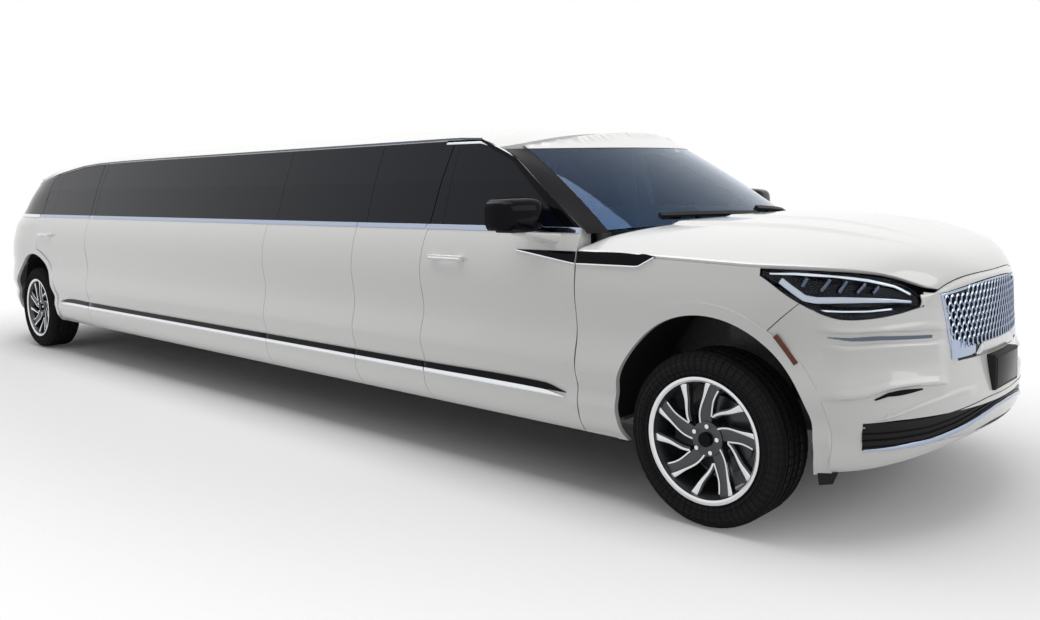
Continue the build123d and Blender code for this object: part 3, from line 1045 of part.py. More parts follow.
with BuildPart() as lounge:
    box_between(*LOUNGE_X, 400, 860, FLOOR_Z[1] + SEAT_GAP, 700)
    box_between(*LOUNGE_X, 720, 850, 690, 1130)
    box_between(-2860, -2420, -690, 690, RAISED_Z[1] + 0.3 - 228, 720)
    box_between(-2885, -2760, -690, 690, 700, 1180)
save(lounge.part, "lounge_seats")
with BuildPart() as bar:
    box_between(-1100, 1100, -860, -520, FLOOR_Z[1] + SEAT_GAP, 880)
    box_between(-1120, 1120, -862, -505, 880, 905)
save(bar.part, "bar_cabinet")

# Wipers lying on the foot of the windscreen
SCREEN_OUT = Vector(0.5, 0, 0.86)
WIPER_REACH = 560
WIPER_WIDTH = 0.03
with BuildPart() as wipers:
    for pivot_y in (600, -20):
        strip = []
        for k in range(6):
            across, up = (pivot_y - WIPER_REACH * k / 5) / FOOT_CORNER[1], 0.02 + 0.05 * k / 5
            strip.append([screen_point(across, up + WIPER_WIDTH * j / 3) + SCREEN_OUT * 0.6 for j in range(4)])
        extrude(grid_face(strip), amount=12, dir=SCREEN_OUT)
save(wipers.part, "wipers")
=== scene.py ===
# %% [markdown]
# # Dressing a stretch limousine
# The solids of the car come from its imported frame: panels, glass, wheels, cabin and running gear, each on the body
# that carries it. This lesson gives them their finishes and adds what is too fine for the solids: trim, lamps, mesh
# and seats. Every new piece is modelled in place, in metres, with +X forward, +Y to the car's left and +Z up.

# %% Load the frame
import json
import math
import bpy
from mathutils import Matrix, Vector


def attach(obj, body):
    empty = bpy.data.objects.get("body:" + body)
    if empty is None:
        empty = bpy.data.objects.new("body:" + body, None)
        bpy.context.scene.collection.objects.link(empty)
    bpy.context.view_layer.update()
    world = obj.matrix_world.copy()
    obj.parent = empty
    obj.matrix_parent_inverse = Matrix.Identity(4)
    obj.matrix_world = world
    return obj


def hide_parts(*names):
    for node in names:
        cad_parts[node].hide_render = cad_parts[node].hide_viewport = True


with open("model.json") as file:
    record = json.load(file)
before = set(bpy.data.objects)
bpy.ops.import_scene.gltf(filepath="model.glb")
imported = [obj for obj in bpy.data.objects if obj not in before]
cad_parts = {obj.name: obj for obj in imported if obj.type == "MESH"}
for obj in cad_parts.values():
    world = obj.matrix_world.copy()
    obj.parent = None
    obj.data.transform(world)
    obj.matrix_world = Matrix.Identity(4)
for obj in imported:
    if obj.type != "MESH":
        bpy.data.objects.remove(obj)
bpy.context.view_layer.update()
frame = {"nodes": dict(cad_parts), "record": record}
nodes = frame["nodes"]

# %% [markdown]
# ## The skin of the car
# Trim has to lie on the body, so the lesson needs to know where the skin is. Shrinkwrap could find it on the panels,
# but the nose is open where the lamps and the grille sit. So the skin is written down as a few short tables: half
# width, nose and tail by height, and the edge of the roof by length. Between the rows a cubic blend keeps it smooth.

# %% Skin tables
FRONT_AXLE, REAR_AXLE, WHEEL_Z, WHEEL_Y = 3.715, -3.45, .364, .85
SEAM_B, SEAM_C, SEAM_D, SEAM_E = (FRONT_AXLE - back for back in (1.703, 2.302, 3.238, 5.97))
REAR_DOOR_END = REAR_AXLE + .135
NOSE_START, TAIL_POWER = .25, 2.6
SIDE = ((.288, .925), (.343, .966), (.443, .988), (.498, .981), (.603, 1.003), (.758, .98), (.943, .995),
        (1.125, .971), (1.22, .934), (1.44, .868), (1.655, .785))
NOSE = ((.28, .79), (.385, .85), (.438, .88), (.5, .885), (.538, .882), (.648, .862), (.788, .848), (.978, .836),
        (1.043, .822))
TAIL = ((.25, 1.08), (.4, 1.145), (.56, 1.15), (.7, 1.14), (.8, 1.12), (1.0, 1.1), (1.15, 1.06),
        (1.22, 1.025), (1.4, .89), (1.655, .66))
TAIL_FROM = ((.25, .1), (.6, .21), (.8, .26), (1.0, .14), (1.1, .1), (1.22, -.04), (1.4, -.18),
             (1.48, -.28), (1.655, -.45))
ROOF_EDGE = ((-7.9, 1.462), (-7.7, 1.478), (-7.5, 1.495), (-7.3, 1.514), (-7.1, 1.543), (-6.9, 1.577),
             (-6.66, 1.606), (-6.4, 1.634), (-6.1, 1.648), (-5.6, 1.655), (-5.0, 1.658), (-1.6, 1.66),
             (-1.43, 1.652), (-1.3, 1.612), (-1.15, 1.56), (-1.0, 1.5))


def smooth(table, where):
    """Value of a table between its rows, with a cubic blend."""
    if where <= table[0][0]:
        return table[0][1]
    if where >= table[-1][0]:
        return table[-1][1]
    i = max(k for k in range(len(table) - 1) if table[k][0] <= where)
    slopes = []
    for k in (i, i + 1):
        lo, hi = max(k - 1, 0), min(k + 1, len(table) - 1)
        slopes.append((table[hi][1] - table[lo][1]) / (table[hi][0] - table[lo][0]))
    span = table[i + 1][0] - table[i][0]
    t = (where - table[i][0]) / span
    blend = table[i][1] * (1 + 2 * t) * (1 - t) ** 2 + table[i + 1][1] * t * t * (3 - 2 * t)
    return blend + span * (slopes[0] * t * (1 - t) ** 2 + slopes[1] * t * t * (t - 1))


def along(path, t):
    """Point at share t of a path of points, straight between them, by length."""
    points = [Vector(p) for p in path]
    lengths = [(b - a).length for a, b in zip(points, points[1:])]
    left = t * sum(lengths)
    for a, b, length in zip(points, points[1:], lengths):
        if left <= length:
            return a + (b - a) * (left / length)
        left -= length
    return points[-1]


def nose_point(angle, z, out=0.0):
    """Skin of the nose seen from its fan centre, angle in degrees from straight ahead, positive to the left."""
    depth, half = smooth(NOSE, z) - NOSE_START, smooth(SIDE, z)
    c, s = math.cos(math.radians(angle)), math.sin(math.radians(angle))
    reach = ((c / depth) ** 2 + (s / half) ** 2) ** -.5
    way = Vector((c / depth ** 2, s / half ** 2, 0)).normalized()
    return Vector((FRONT_AXLE + NOSE_START + reach * c, reach * s, z)) + way * out


def nose_at(y, z, out=0.0):
    """Skin of the nose at a given width and height."""
    depth, half = smooth(NOSE, z) - NOSE_START, smooth(SIDE, z)
    ahead = depth * math.sqrt(max(1 - (y / half) ** 2, 0))
    return nose_point(math.degrees(math.atan2(y, ahead)), z, out)


def side_point(x, z, hand, out=0.0):
    """Skin of the flank on one hand, narrowing at the nose and at the tail."""
    half = smooth(SIDE, z)
    ahead = (x - FRONT_AXLE - NOSE_START) / (smooth(NOSE, z) - NOSE_START)
    behind = (REAR_AXLE - smooth(TAIL_FROM, z) - x) / (smooth(TAIL, z) - smooth(TAIL_FROM, z))
    if ahead > 0:
        half *= math.sqrt(max(1 - ahead ** 2, 0))
    if behind > 0:
        half *= max(1 - behind ** TAIL_POWER, 0) ** (1 / TAIL_POWER)
    return Vector((x, hand * (half + out), z))


def tail_at(y, z, out=0.0):
    """Skin of the tail at a given width and height."""
    share = min(abs(y) / smooth(SIDE, z), 1)
    begin = smooth(TAIL_FROM, z)
    reach = (smooth(TAIL, z) - begin) * (1 - share ** TAIL_POWER) ** (1 / TAIL_POWER)
    return Vector((REAR_AXLE - begin - reach - out, y, z))


print("nose tip at", round(nose_point(0, .5).x, 3), "tail at", round(tail_at(0, .5).x, 3))

# %% [markdown]
# ## Tools of the bench
# A few helpers do what a hand does again and again: clear the selection, add a primitive, push a grid onto the skin,
# give a sheet its thickness and soften its edges, then hand the piece over to the body that carries it.

# %% Helpers for pieces
MATERIALS = {}


def clear():
    if bpy.context.object and bpy.context.object.mode != "OBJECT":
        bpy.ops.object.mode_set(mode="OBJECT")
    bpy.ops.object.select_all(action="DESELECT")


def pick(piece):
    """Selects one piece alone and makes it active."""
    clear()
    piece.select_set(True)
    bpy.context.view_layer.objects.active = piece


def open_all(piece):
    """Opens one piece in edit mode with all of it selected."""
    pick(piece)
    bpy.ops.object.mode_set(mode="EDIT")
    bpy.ops.mesh.select_all(action="SELECT")


def modify(piece, kind, **values):
    """Adds a modifier, sets it and applies it."""
    pick(piece)
    modifier = piece.modifiers.new(kind.title(), kind)
    for key, value in values.items():
        setattr(modifier, key, value)
    bpy.ops.object.modifier_apply(modifier=modifier.name)


def soften_edges(piece, width, segments=2, angle=40):
    """Bevels the edges that are sharper than an angle in degrees."""
    modify(piece, "BEVEL", width=width, segments=segments, limit_method="ANGLE", angle_limit=math.radians(angle))


def named(name):
    """Fixes the place of the newest primitive into its mesh and names it."""
    piece = bpy.context.object
    bpy.ops.object.transform_apply(location=True, rotation=True, scale=True)
    piece.name = piece.data.name = name
    return piece


def outward(piece):
    """Merges doubled points and turns all faces outwards."""
    open_all(piece)
    bpy.ops.mesh.remove_doubles(threshold=.00005)
    bpy.ops.mesh.normals_make_consistent(inside=False)
    bpy.ops.object.mode_set(mode="OBJECT")


def shade(piece, angle=35):
    pick(piece)
    bpy.ops.object.shade_smooth_by_angle(angle=math.radians(angle))


def hand_over(piece, body, finish, slot, *replaced):
    """Gives a piece its finish and lets it ride on a body."""
    piece.data.materials.clear()
    piece.data.materials.append(MATERIALS[finish])
    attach(piece, body)
    if replaced:
        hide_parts(*replaced)


def drape(name, across, up, place, thick=.004, soften=.0012):
    """A grid pushed onto place(s, t), with s and t from 0 to 1, thickened inwards and softened."""
    clear()
    bpy.ops.mesh.primitive_grid_add(x_subdivisions=across, y_subdivisions=up, size=1)
    sheet = named(name)
    for point in sheet.data.vertices:
        point.co = place(point.co.x + .5, point.co.y + .5)
    outward(sheet)
    if thick:
        modify(sheet, "SOLIDIFY", thickness=thick, offset=-1.0)
        outward(sheet)
    if soften:
        soften_edges(sheet, soften)
    shade(sheet)
    return sheet


def joined(name, parts):
    """Joins several objects into one mesh."""
    clear()
    for part in parts:
        part.select_set(True)
    bpy.context.view_layer.objects.active = parts[0]
    if len(parts) > 1:
        bpy.ops.object.join()
    whole = bpy.context.object
    whole.name = whole.data.name = name
    return whole


def block(name, low, high, soften=.004, segments=3):
    """A softened block between two corners."""
    clear()
    middle = [(a + b) / 2 for a, b in zip(low, high)]
    bpy.ops.mesh.primitive_cube_add(size=1, location=middle, scale=[abs(b - a) for a, b in zip(low, high)])
    piece = named(name)
    if soften:
        soften_edges(piece, soften, segments)
    shade(piece)
    return piece


def turned(name, profile, steps=96):
    """A round piece about Y at the origin: a circle of points extruded and scaled along a profile of (radius, y)."""
    clear()
    radius, offset = profile[0]
    bpy.ops.mesh.primitive_circle_add(vertices=steps, radius=radius, location=(0, offset, 0),
                                      rotation=(math.pi / 2, 0, 0))
    piece = named(name)
    open_all(piece)
    for (r0, y0), (r1, y1) in zip(profile, profile[1:] + profile[:1]):
        bpy.ops.mesh.extrude_edges_move(TRANSFORM_OT_translate={"value": (0, y1 - y0, 0)})
        bpy.ops.transform.resize(value=(r1 / r0, 1, r1 / r0), center_override=(0, y1, 0))
    bpy.ops.object.mode_set(mode="OBJECT")
    outward(piece)
    return piece


print("bench ready")

# %% [markdown]
# ## Finishes
# The car is pearl-white paint under clear coat, near-black tinted glass, bright plating, gloss and matt black
# plastic, machined alloy, rubber, leather and dark wood. Each is one Principled shader. A shared node group lays a
# fine grain into the ones that are not perfectly smooth.

# %% Node helpers, grain group and finishes
def grow(tree, *kinds):
    """New shader nodes of the kinds named."""
    return [tree.nodes.new("ShaderNode" + kind) for kind in kinds]


def wire(tree, *links):
    """Links nodes, each link as node, output, node, input."""
    for source, leave, target, enter in links:
        tree.links.new(source.outputs[leave], target.inputs[enter])


def grain_group():
    """Node group: fine noise in Object coordinates as a mask."""
    group = bpy.data.node_groups.new("fine_grain", "ShaderNodeTree")
    group.interface.new_socket("Scale", in_out="INPUT", socket_type="NodeSocketFloat")
    group.interface.new_socket("Mask", in_out="OUTPUT", socket_type="NodeSocketFloat")
    entry, leave = group.nodes.new("NodeGroupInput"), group.nodes.new("NodeGroupOutput")
    place, noise = grow(group, "TexCoord", "TexNoise")
    noise.inputs["Detail"].default_value = 4
    wire(group, (place, "Object", noise, "Vector"), (entry, "Scale", noise, "Scale"), (noise, "Fac", leave, "Mask"))
    return group


GRAIN = grain_group()
COAT_ROUGH, GRAIN_DEPTH = .03, .002


def finish(name, colour, rough=.5, metal=0.0, coat=0.0, through=0.0, grain=None, bump=0.0, ior=1.5, spec=.5,
           sheen=(1, 1, 1)):
    """A Principled material, with grain (scale, dark share) over its colour if asked."""
    material = bpy.data.materials.new(name)
    material.use_nodes = True
    tree = material.node_tree
    shader = tree.nodes["Principled BSDF"]
    plain = {"Base Color": (*colour, 1), "Roughness": rough, "Metallic": metal, "Coat Weight": coat,
             "Coat Roughness": COAT_ROUGH, "Transmission Weight": through, "IOR": ior, "Specular IOR Level": spec,
             "Specular Tint": (*sheen, 1)}
    for socket, value in plain.items():
        shader.inputs[socket].default_value = value
    if grain:
        use, mix = grow(tree, "Group", "Mix")
        use.node_tree = GRAIN
        use.inputs["Scale"].default_value = grain[0]
        mix.data_type = "RGBA"
        mix.inputs["A"].default_value = (*[c * (1 - grain[1]) for c in colour], 1)
        mix.inputs["B"].default_value = (*[min(c * (1 + grain[1]), 1) for c in colour], 1)
        wire(tree, (use, "Mask", mix, "Factor"), (mix, "Result", shader, "Base Color"))
        if bump:
            height, = grow(tree, "Bump")
            height.inputs["Strength"].default_value = bump
            height.inputs["Distance"].default_value = GRAIN_DEPTH
            wire(tree, (use, "Mask", height, "Height"), (height, "Normal", shader, "Normal"))
    MATERIALS[name] = material


finish("pearl_paint", (.8, .8, .79), rough=.32, coat=1.0)
finish("tinted_glass", (.004, .006, .012), rough=.03, spec=.16)
finish("clear_glass", (.36, .53, .74), rough=0.0, through=1.0, ior=1.45, spec=.9, sheen=(.1, .34, .8))
finish("lamp_cover", (.94, .97, 1.0), rough=0.0, through=1.0, ior=1.08)
finish("gloss_black", (.004, .004, .006), rough=.08, spec=.08)
finish("bright_plating", (.78, .8, .83), rough=.06, metal=1.0)
finish("blue_plating", (.4, .46, .58), rough=.1, metal=1.0)
finish("dark_plating", (.11, .13, .17), rough=.14, metal=1.0)
finish("black_plastic", (.018, .018, .019), rough=.55, grain=(400, .3), bump=.15, spec=.15)
finish("machined_alloy", (.72, .73, .75), rough=.22, metal=1.0)
finish("grey_alloy", (.055, .058, .064), rough=.38, metal=.6, coat=.4)
finish("rubber", (.013, .013, .014), rough=.72, grain=(180, .25), bump=.1, spec=.2)
finish("steel", (.12, .12, .125), rough=.5, metal=.7, grain=(60, .3))
finish("iron", (.08, .08, .083), rough=.6, metal=.5, grain=(90, .35), bump=.2)
finish("black_leather", (.022, .02, .02), rough=.45, grain=(260, .3), bump=.25)
finish("dark_wood", (.055, .026, .014), rough=.25, coat=.8, grain=(22, .5))
finish("carpet", (.02, .02, .022), rough=.95, grain=(300, .5), bump=.4)
finish("lamp_black", (.006, .007, .01), rough=.15, spec=.15)
finish("lamp_red", (.3, .006, .008), rough=.08, coat=.4)
finish("lamp_amber", (.17, .045, .018), rough=.1, spec=.3)
finish("lamp_white", (.52, .55, .6), rough=.2, metal=.6)
# Each of these is a finish and the slot that it stands for.
PAINT, BLACK, PLASTIC = ("pearl_paint", "paint"), ("gloss_black", "gloss_black"), ("black_plastic", "matte_black")
PLATED, BLUE, DARK = ((f"{kind}_plating", "chrome_trim") for kind in ("bright", "blue", "dark"))
FINISH_OF = {"paint": "pearl_paint", "glass_dark": "tinted_glass", "glass_clear": "clear_glass",
             "gloss_black": "gloss_black", "lamp": "lamp_black", "lamp_red": "lamp_red", "chrome_trim": "lamp_black",
             "matte_black": "black_plastic", "alloy": "grey_alloy", "tyre_rubber": "rubber", "steel": "steel",
             "iron": "iron", "leather_black": "black_leather", "wood_dark": "dark_wood", "carpet": "carpet"}
for entry in frame["record"]["subparts"]:
    node = nodes[entry["node"]]
    node.data.materials.clear()
    node.data.materials.append(MATERIALS[FINISH_OF[entry["material_slot"]]])
print("finishes:", len(MATERIALS))

# %% [markdown]
# ## Trim along the flanks
# A plated strip runs under the windows, a slim dark one along the roof rail, and a black and plated pair sits low on
# the doors. Each is a narrow ribbon of grid pushed onto the skin and thickened. The ribbons are cut where the doors
# open, so that every length moves with its own panel.

# %% Belt, rail and rocker ribbons
GAP = .004
SIDE_NAME = {-1: "right", 1: "left"}
HANDS = tuple(SIDE_NAME.items())


def on_body(kind, hand):
    return kind if kind == "body" else f"{kind}_{SIDE_NAME[hand]}"


def ribbon(name, kind, hand, look, line, width, out, thick=.005, steps=40):
    """A ribbon on the flank along a line of (x, z), handed to its panel. Its width up may be a table by share."""
    def place(s, t):
        x, z = along(line, s)
        tall = width if isinstance(width, float) else smooth(width, s)
        return side_point(x, z + tall * t, hand, out)
    hand_over(drape(f"{name}_{SIDE_NAME[hand]}", steps, 2, place, thick), on_body(kind, hand), *look)


BELT_LOW, BELT_WIDE = 1.197, .025
BELT = (("front_door", SEAM_B + GAP, FRONT_AXLE - .652), ("body", SEAM_C + GAP, SEAM_B - GAP),
        ("body", SEAM_E + GAP, SEAM_C - GAP), ("rear_door", REAR_DOOR_END + .022, SEAM_E - GAP))
ROCKER = (("front_door", SEAM_B + GAP, FRONT_AXLE - .713, ((0, 1), (.86, 1), (1, .06))),
          ("body", SEAM_C + .002, SEAM_B - GAP, ((0, 1), (1, 1))),
          ("body", SEAM_D + .002, SEAM_C - .002, ((0, 1), (1, 1))),
          ("body", SEAM_E + GAP, SEAM_D - .002, ((0, 1), (1, 1))),
          ("rear_door", FRONT_AXLE - 6.56, SEAM_E - GAP, ((0, .06), (.3, 1), (1, 1))))
for hand in SIDE_NAME:
    for k, (kind, rear, front) in enumerate(BELT):
        ribbon(f"belt_strip_{k}", kind, hand, BLUE, ((rear, BELT_LOW), (front, BELT_LOW)), BELT_WIDE, .005)
    for k, (kind, rear, front, share) in enumerate(ROCKER):
        for part, low, tall, look in (("black", .47, .03, BLACK), ("bright", .449, .02, PLATED)):
            widths = tuple((s, w * tall) for s, w in share)
            ribbon(f"rocker_{part}_{k}", kind, hand, look, ((rear, low), (front, low)), widths, .007, .008, 24)
    rail = [(FRONT_AXLE + u, z + .001) for u, z in ROOF_EDGE if -7.75 < u < -1.4]
    ribbon("roof_rail", "body", hand, DARK, rail, .01, .003, .006, 80)
    quarter = ((REAR_AXLE - .8, BELT_LOW), (REAR_DOOR_END - .03, BELT_LOW))
    ribbon("belt_strip_tail", "body", hand, PLATED, quarter, ((0, .004), (.4, BELT_WIDE), (1, BELT_WIDE)), .005)
print("flank strips laid:", 2 * (len(BELT) + 2 * len(ROCKER) + 2))

# %% [markdown]
# ## Door frame line, fender darts and handles
# The front door's window frame has a thin bright edge that sweeps up over its front corner. Behind each front wheel a
# black dart runs from the fender onto the door, with plating along its foot. The handles are bars that stand off the
# door on two feet, over an oval cup.

# %% Frame line, darts and handles
FRAME_LINE = ((-.7, 1.226), (-.881, 1.343), (-1.01, 1.436), (-1.144, 1.537), (-1.241, 1.583), (-1.342, 1.614),
              (-1.431, 1.634), (-1.695, 1.638))
DART_LOW = 1.064
DARTS = (("body", ((FRONT_AXLE - .64, DART_LOW), (FRONT_AXLE - .3, 1.066), (FRONT_AXLE - .22, 1.108)),
          ((0, .054), (.79, .05), (1, .006))),
         ("front_door", ((FRONT_AXLE - 1.019, 1.112), (FRONT_AXLE - .65, DART_LOW)), ((0, .004), (1, .054))))
HANDLES = (("front_door", FRONT_AXLE - 1.4925, 1.058), ("rear_door", FRONT_AXLE - 6.81, 1.048))
GRIP_HALF, FOOT_OFF, BAR_HALF = .128, .096, .118


def handle(name, x, z, hand):
    """A grip bar on two feet: three softened blocks joined, mirrored for the right side."""
    out = abs(side_point(x, z, 1).y)
    grip = block(name, (x - GRIP_HALF, out + .02, z - .013), (x + GRIP_HALF, out + .034, z + .013), .006, 3)
    feet = [block(name + "_foot", (x + s - .026, out - .006, z - .01), (x + s + .026, out + .027, z + .01),
                  .004, 2) for s in (-FOOT_OFF, FOOT_OFF)]
    whole = joined(name, [grip] + feet)
    if hand < 0:
        for point in whole.data.vertices:
            point.co.y = -point.co.y
        outward(whole)
    shade(whole)
    return whole


def cup(name, x, z, hand):
    """The shallow oval dish behind a handle, a round grid with its middle pushed in."""
    def place(s, t):
        radius, angle = t, 2 * math.pi * s
        return side_point(x + .095 * radius * math.cos(angle), z - .004 + .04 * radius * math.sin(angle), hand,
                          .0016 - .0012 * (1 - radius))
    return drape(name, 40, 5, place, .0012, 0)


for hand, side in HANDS:
    frame_line = [(FRONT_AXLE + u, z) for u, z in reversed(FRAME_LINE)]
    ribbon("frame_line", "front_door", hand, PLATED, frame_line, .011, .002, .004, 60)
    for kind, line, widths in DARTS:
        ribbon(f"dart_{kind}", kind, hand, BLACK, line, widths, .005, .006, 30)
        foot = [(x, z - .003) for x, z in line]
        ribbon(f"dart_edge_{kind}", kind, hand, PLATED, foot, .006, .007, .006, 30)
    for kind, x, z in HANDLES:
        hand_over(cup(f"cup_{kind}_{side}", x, z, hand), on_body(kind, hand), *PAINT)
        hand_over(handle(f"handle_{kind}_{side}", x, z, hand), on_body(kind, hand), *PAINT)
        line = ((x - BAR_HALF, z - .004), (x + BAR_HALF, z - .004))
        ribbon(f"handle_bar_{kind}", kind, hand, PLATED, line, .008, .036, .003, 8)
print("darts and handles in place")

# %% [markdown]
# ## Wheels and tyres
# Each wheel has five broad dark spokes with machined edges, and a thin bright spoke that branches off beside each
# one. The nuts are bright and the cap is plain. A spoke is a grid bent along its line, extruded, bevelled and copied
# round the hub. The tyre is a ring turned from a profile with four grooves, and its shoulder blocks are cut by
# pushing every other band of faces in.

# %% Wheel pieces
# Each line is (radius, turn in degrees) and each width is half of the spoke's width by radius.
BROAD = ((.055, 101), (.1, 92), (.167, 84.5), (.24, 78.0))
BROAD_HALF = ((.055, .03), (.1, .028), (.167, .0236), (.24, .028))
BRANCH = ((.1, 72), (.168, 50.3), (.24, 41.8))
BRANCH_HALF = ((.1, .01), (.168, .0125), (.24, .02))
BRIGHT = ((((.0486, 121), (.101, 107.7), (.167, 92.6), (.241, 84.6)),
           ((.0486, .0036), (.167, .0048), (.241, .011))),
          (((.1, 75.5), (.165, 76.2), (.224, 72.2)), ((.1, .0034), (.224, .0036))),
          (((.1, 72.5), (.168, 50.3), (.241, 41.7)), ((.1, .0042), (.168, .007), (.241, .015))))
SPOKES, SPOKE_TURN = range(5), 72
NUT_CIRCLE, NUT_TURN = .0572, 8.5


def spoke(name, turn, line, half, face, depth):
    """One spoke: a grid bent along its line in the wheel's plane, then extruded towards the car."""
    def centre(radius):
        angle = math.radians(turn + smooth(line, radius))
        return Vector((radius * math.cos(angle), 0, radius * math.sin(angle)))

    def place(s, t):
        radius = line[0][0] + (line[-1][0] - line[0][0]) * s
        run = (centre(radius + .002) - centre(radius - .002)).normalized()
        across = Vector((-run.z, 0, run.x))
        spot = centre(radius) + across * smooth(half, radius) * (2 * t - 1)
        share = max(min((spot.length - .05) / .19, 1), 0)
        return spot + Vector((0, face - .018 * (1 - share) ** 2 + .008 * share ** 3, 0))
    piece = drape(name, 16, 2, place, 0, 0)
    open_all(piece)
    bpy.ops.mesh.extrude_region_move(TRANSFORM_OT_translate={"value": (0, -depth, 0)})
    bpy.ops.object.mode_set(mode="OBJECT")
    outward(piece)
    soften_edges(piece, .001)
    return piece


def disc(name, radius, low, high, steps=48, soften=.002):
    """A short round boss about Y."""
    clear()
    bpy.ops.mesh.primitive_cylinder_add(vertices=steps, radius=radius, depth=high - low,
                                        location=(0, (low + high) / 2, 0), rotation=(math.pi / 2, 0, 0))
    piece = named(name)
    soften_edges(piece, soften)
    return piece


def lug_nuts(name):
    nuts = []
    for k in SPOKES:
        angle = math.radians(SPOKE_TURN * k + NUT_TURN)
        nut = disc("nut", .0105, .062, .096, 6, .0015)
        for point in nut.data.vertices:
            point.co += Vector((NUT_CIRCLE * math.cos(angle), 0, NUT_CIRCLE * math.sin(angle)))
        nuts.append(nut)
    return joined(name, nuts)


RIM_PROFILE = [(.2577, .1135), (.264, .114), (.2645, .1185), (.252, .119), (.244, .112),
               (.24, .098), (.233, .086), (.23, .04), (.23, -.105), (.24, -.118),
               (.2577, -.118)]
TREAD, GROOVE = .364, .356
TYRE_PROFILE = [(.258, -.1), (.258, .1), (.264, .1125), (.272, .1185), (.286, .1235),
                (.289, .125), (.3, .127), (.316, .127), (.336, .1215), (.348, .112),
                (.3585, .103), (.3622, .092), (TREAD, .078), (GROOVE, .076), (GROOVE, .066), (TREAD, .064),
                (TREAD, .03), (GROOVE, .028), (GROOVE, .016), (TREAD, .014)]
TYRE_PROFILE += [(r, -y) for r, y in reversed(TYRE_PROFILE[1:])]
TYRE_STEPS = 66


def tyre_ring(name):
    ring = turned(name, TYRE_PROFILE, TYRE_STEPS)
    pick(ring)
    shoulder = []
    for face in ring.data.polygons:
        middle = face.center
        radius = math.hypot(middle.x, middle.z)
        turn = int((math.degrees(math.atan2(middle.z, middle.x)) % 360) / (360 / TYRE_STEPS))
        if .357 < radius < .3638 and .08 < abs(middle.y) < .099 and turn % 2 == 0:
            shoulder.append(face.index)
    for face in ring.data.polygons:
        face.select = face.index in shoulder
    bpy.ops.object.mode_set(mode="EDIT")
    bpy.ops.mesh.select_mode(type="FACE")
    bpy.ops.mesh.inset(thickness=.0022, depth=-.005, use_individual=True)
    bpy.ops.mesh.select_mode(type="VERT")
    bpy.ops.object.mode_set(mode="OBJECT")
    shade(ring, 30)
    return ring


def placed(piece, x, hand):
    """Moves a wheel piece modelled about the origin to its axle, and mirrors it for the right side."""
    for point in piece.data.vertices:
        point.co = (x + point.co.x, hand * (WHEEL_Y + point.co.y), WHEEL_Z + point.co.z)
    if hand < 0:
        outward(piece)
    return piece


def copied(piece, name):
    pick(piece)
    bpy.ops.object.duplicate(linked=False)
    twin = bpy.context.object
    twin.name = twin.data.name = name
    return twin


barrel = joined("barrel", [turned("rim_ring", RIM_PROFILE, 96), disc("hub", .074, -.02, .08, 48, .006)]
                + [spoke("broad", SPOKE_TURN * k, BROAD, BROAD_HALF, .088, .036) for k in SPOKES]
                + [spoke("branch", SPOKE_TURN * k, BRANCH, BRANCH_HALF, .086, .03) for k in SPOKES]
                + [disc("brake_disc", .165, -.038, -.014, 72, .002)])
shade(barrel, 30)
faces = joined("faces", [spoke("bright", SPOKE_TURN * k, line, half, .0935, .009)
                         for k in SPOKES for line, half in BRIGHT]
               + [turned("rim_edge", [(.244, .1135), (.252, .1196), (.2636, .119), (.252, .118)], 96)])
shade(faces, 30)
nuts = lug_nuts("nuts")
cap = disc("cap", .031, .07, .1, 40, .005)
master_tyre = tyre_ring("master_tyre")
CORNERS = (("front_left", FRONT_AXLE, 1), ("front_right", FRONT_AXLE, -1), ("rear_left", REAR_AXLE, 1),
           ("rear_right", REAR_AXLE, -1))
DRESS = ((barrel, "rim", "grey_alloy", "alloy", ("wheel",)), (faces, "spoke_faces", "machined_alloy", "alloy", ()),
         (nuts, "wheel_nuts", *PLATED, ()), (cap, "hub_cap", *BLACK, ()),
         (master_tyre, "road_tyre", "rubber", "tyre_rubber", ("tyre",)))
for corner, x, hand in CORNERS:
    for master, kind, look, slot, plain in DRESS:
        piece = placed(copied(master, f"{kind}_{corner}"), x, hand)
        hand_over(piece, f"wheel_{corner}", look, slot, *(f"{node}_{corner}" for node in plain))
for row in DRESS:
    bpy.data.objects.remove(row[0])

# %% [markdown]
# ## The bumper
# The nose is one wrapped moulding. Its cheeks swell out of it, so that a long groove is left beside the grille under
# each lamp and a scoop at each lower corner. Each cheek is a fine grid laid on the nose, raised by a profile from its
# lower edge to its upper one and flush with the moulding at its ends.

# %% Cheeks that leave the grooves and scoops
GROOVE_LOW = ((38.6, .788), (45.3, .79), (59.8, .799), (68.8, .797), (76, .806))
GROOVE_TOP = ((38, .822), (45.3, .826), (61.8, .84), (68.8, .84), (78, .85))
SCOOP_LOW = ((24, .59), (37.2, .59), (49.1, .566), (55.0, .545), (60.4, .52), (66, .505))
SCOOP_TOP = ((38.6, .613), (49.1, .624), (55.0, .626), (60.4, .62), (66, .6), (76, .59))
BROW_FOOT = ((38, .9), (49, .922), (61.9, .893), (72.1, .896), (78, .935))
SLOT_BROW = ((24, .534), (47, .512), (66, .5))
CHEEKS = (("cheek", SCOOP_TOP, GROOVE_LOW, .017,
           ((0, .1), (.05, 1), (.22, .7), (.5, .42), (.82, .66), (.95, .72), (1, .06))),
          ("lamp_sill", GROOVE_TOP, BROW_FOOT, .01, ((0, .08), (.14, 1), (.5, .5), (1, 0))),
          ("scoop_sill", SLOT_BROW, SCOOP_LOW, .01, ((0, 0), (.5, .5), (.85, 1), (1, .08))))
CHEEK_FADE = .16


def swell(s):
    """0 at both ends of a cheek and 1 between, with smooth slopes."""
    share = min(1, min(s, 1 - s) / CHEEK_FADE)
    return share * share * (3 - 2 * share)


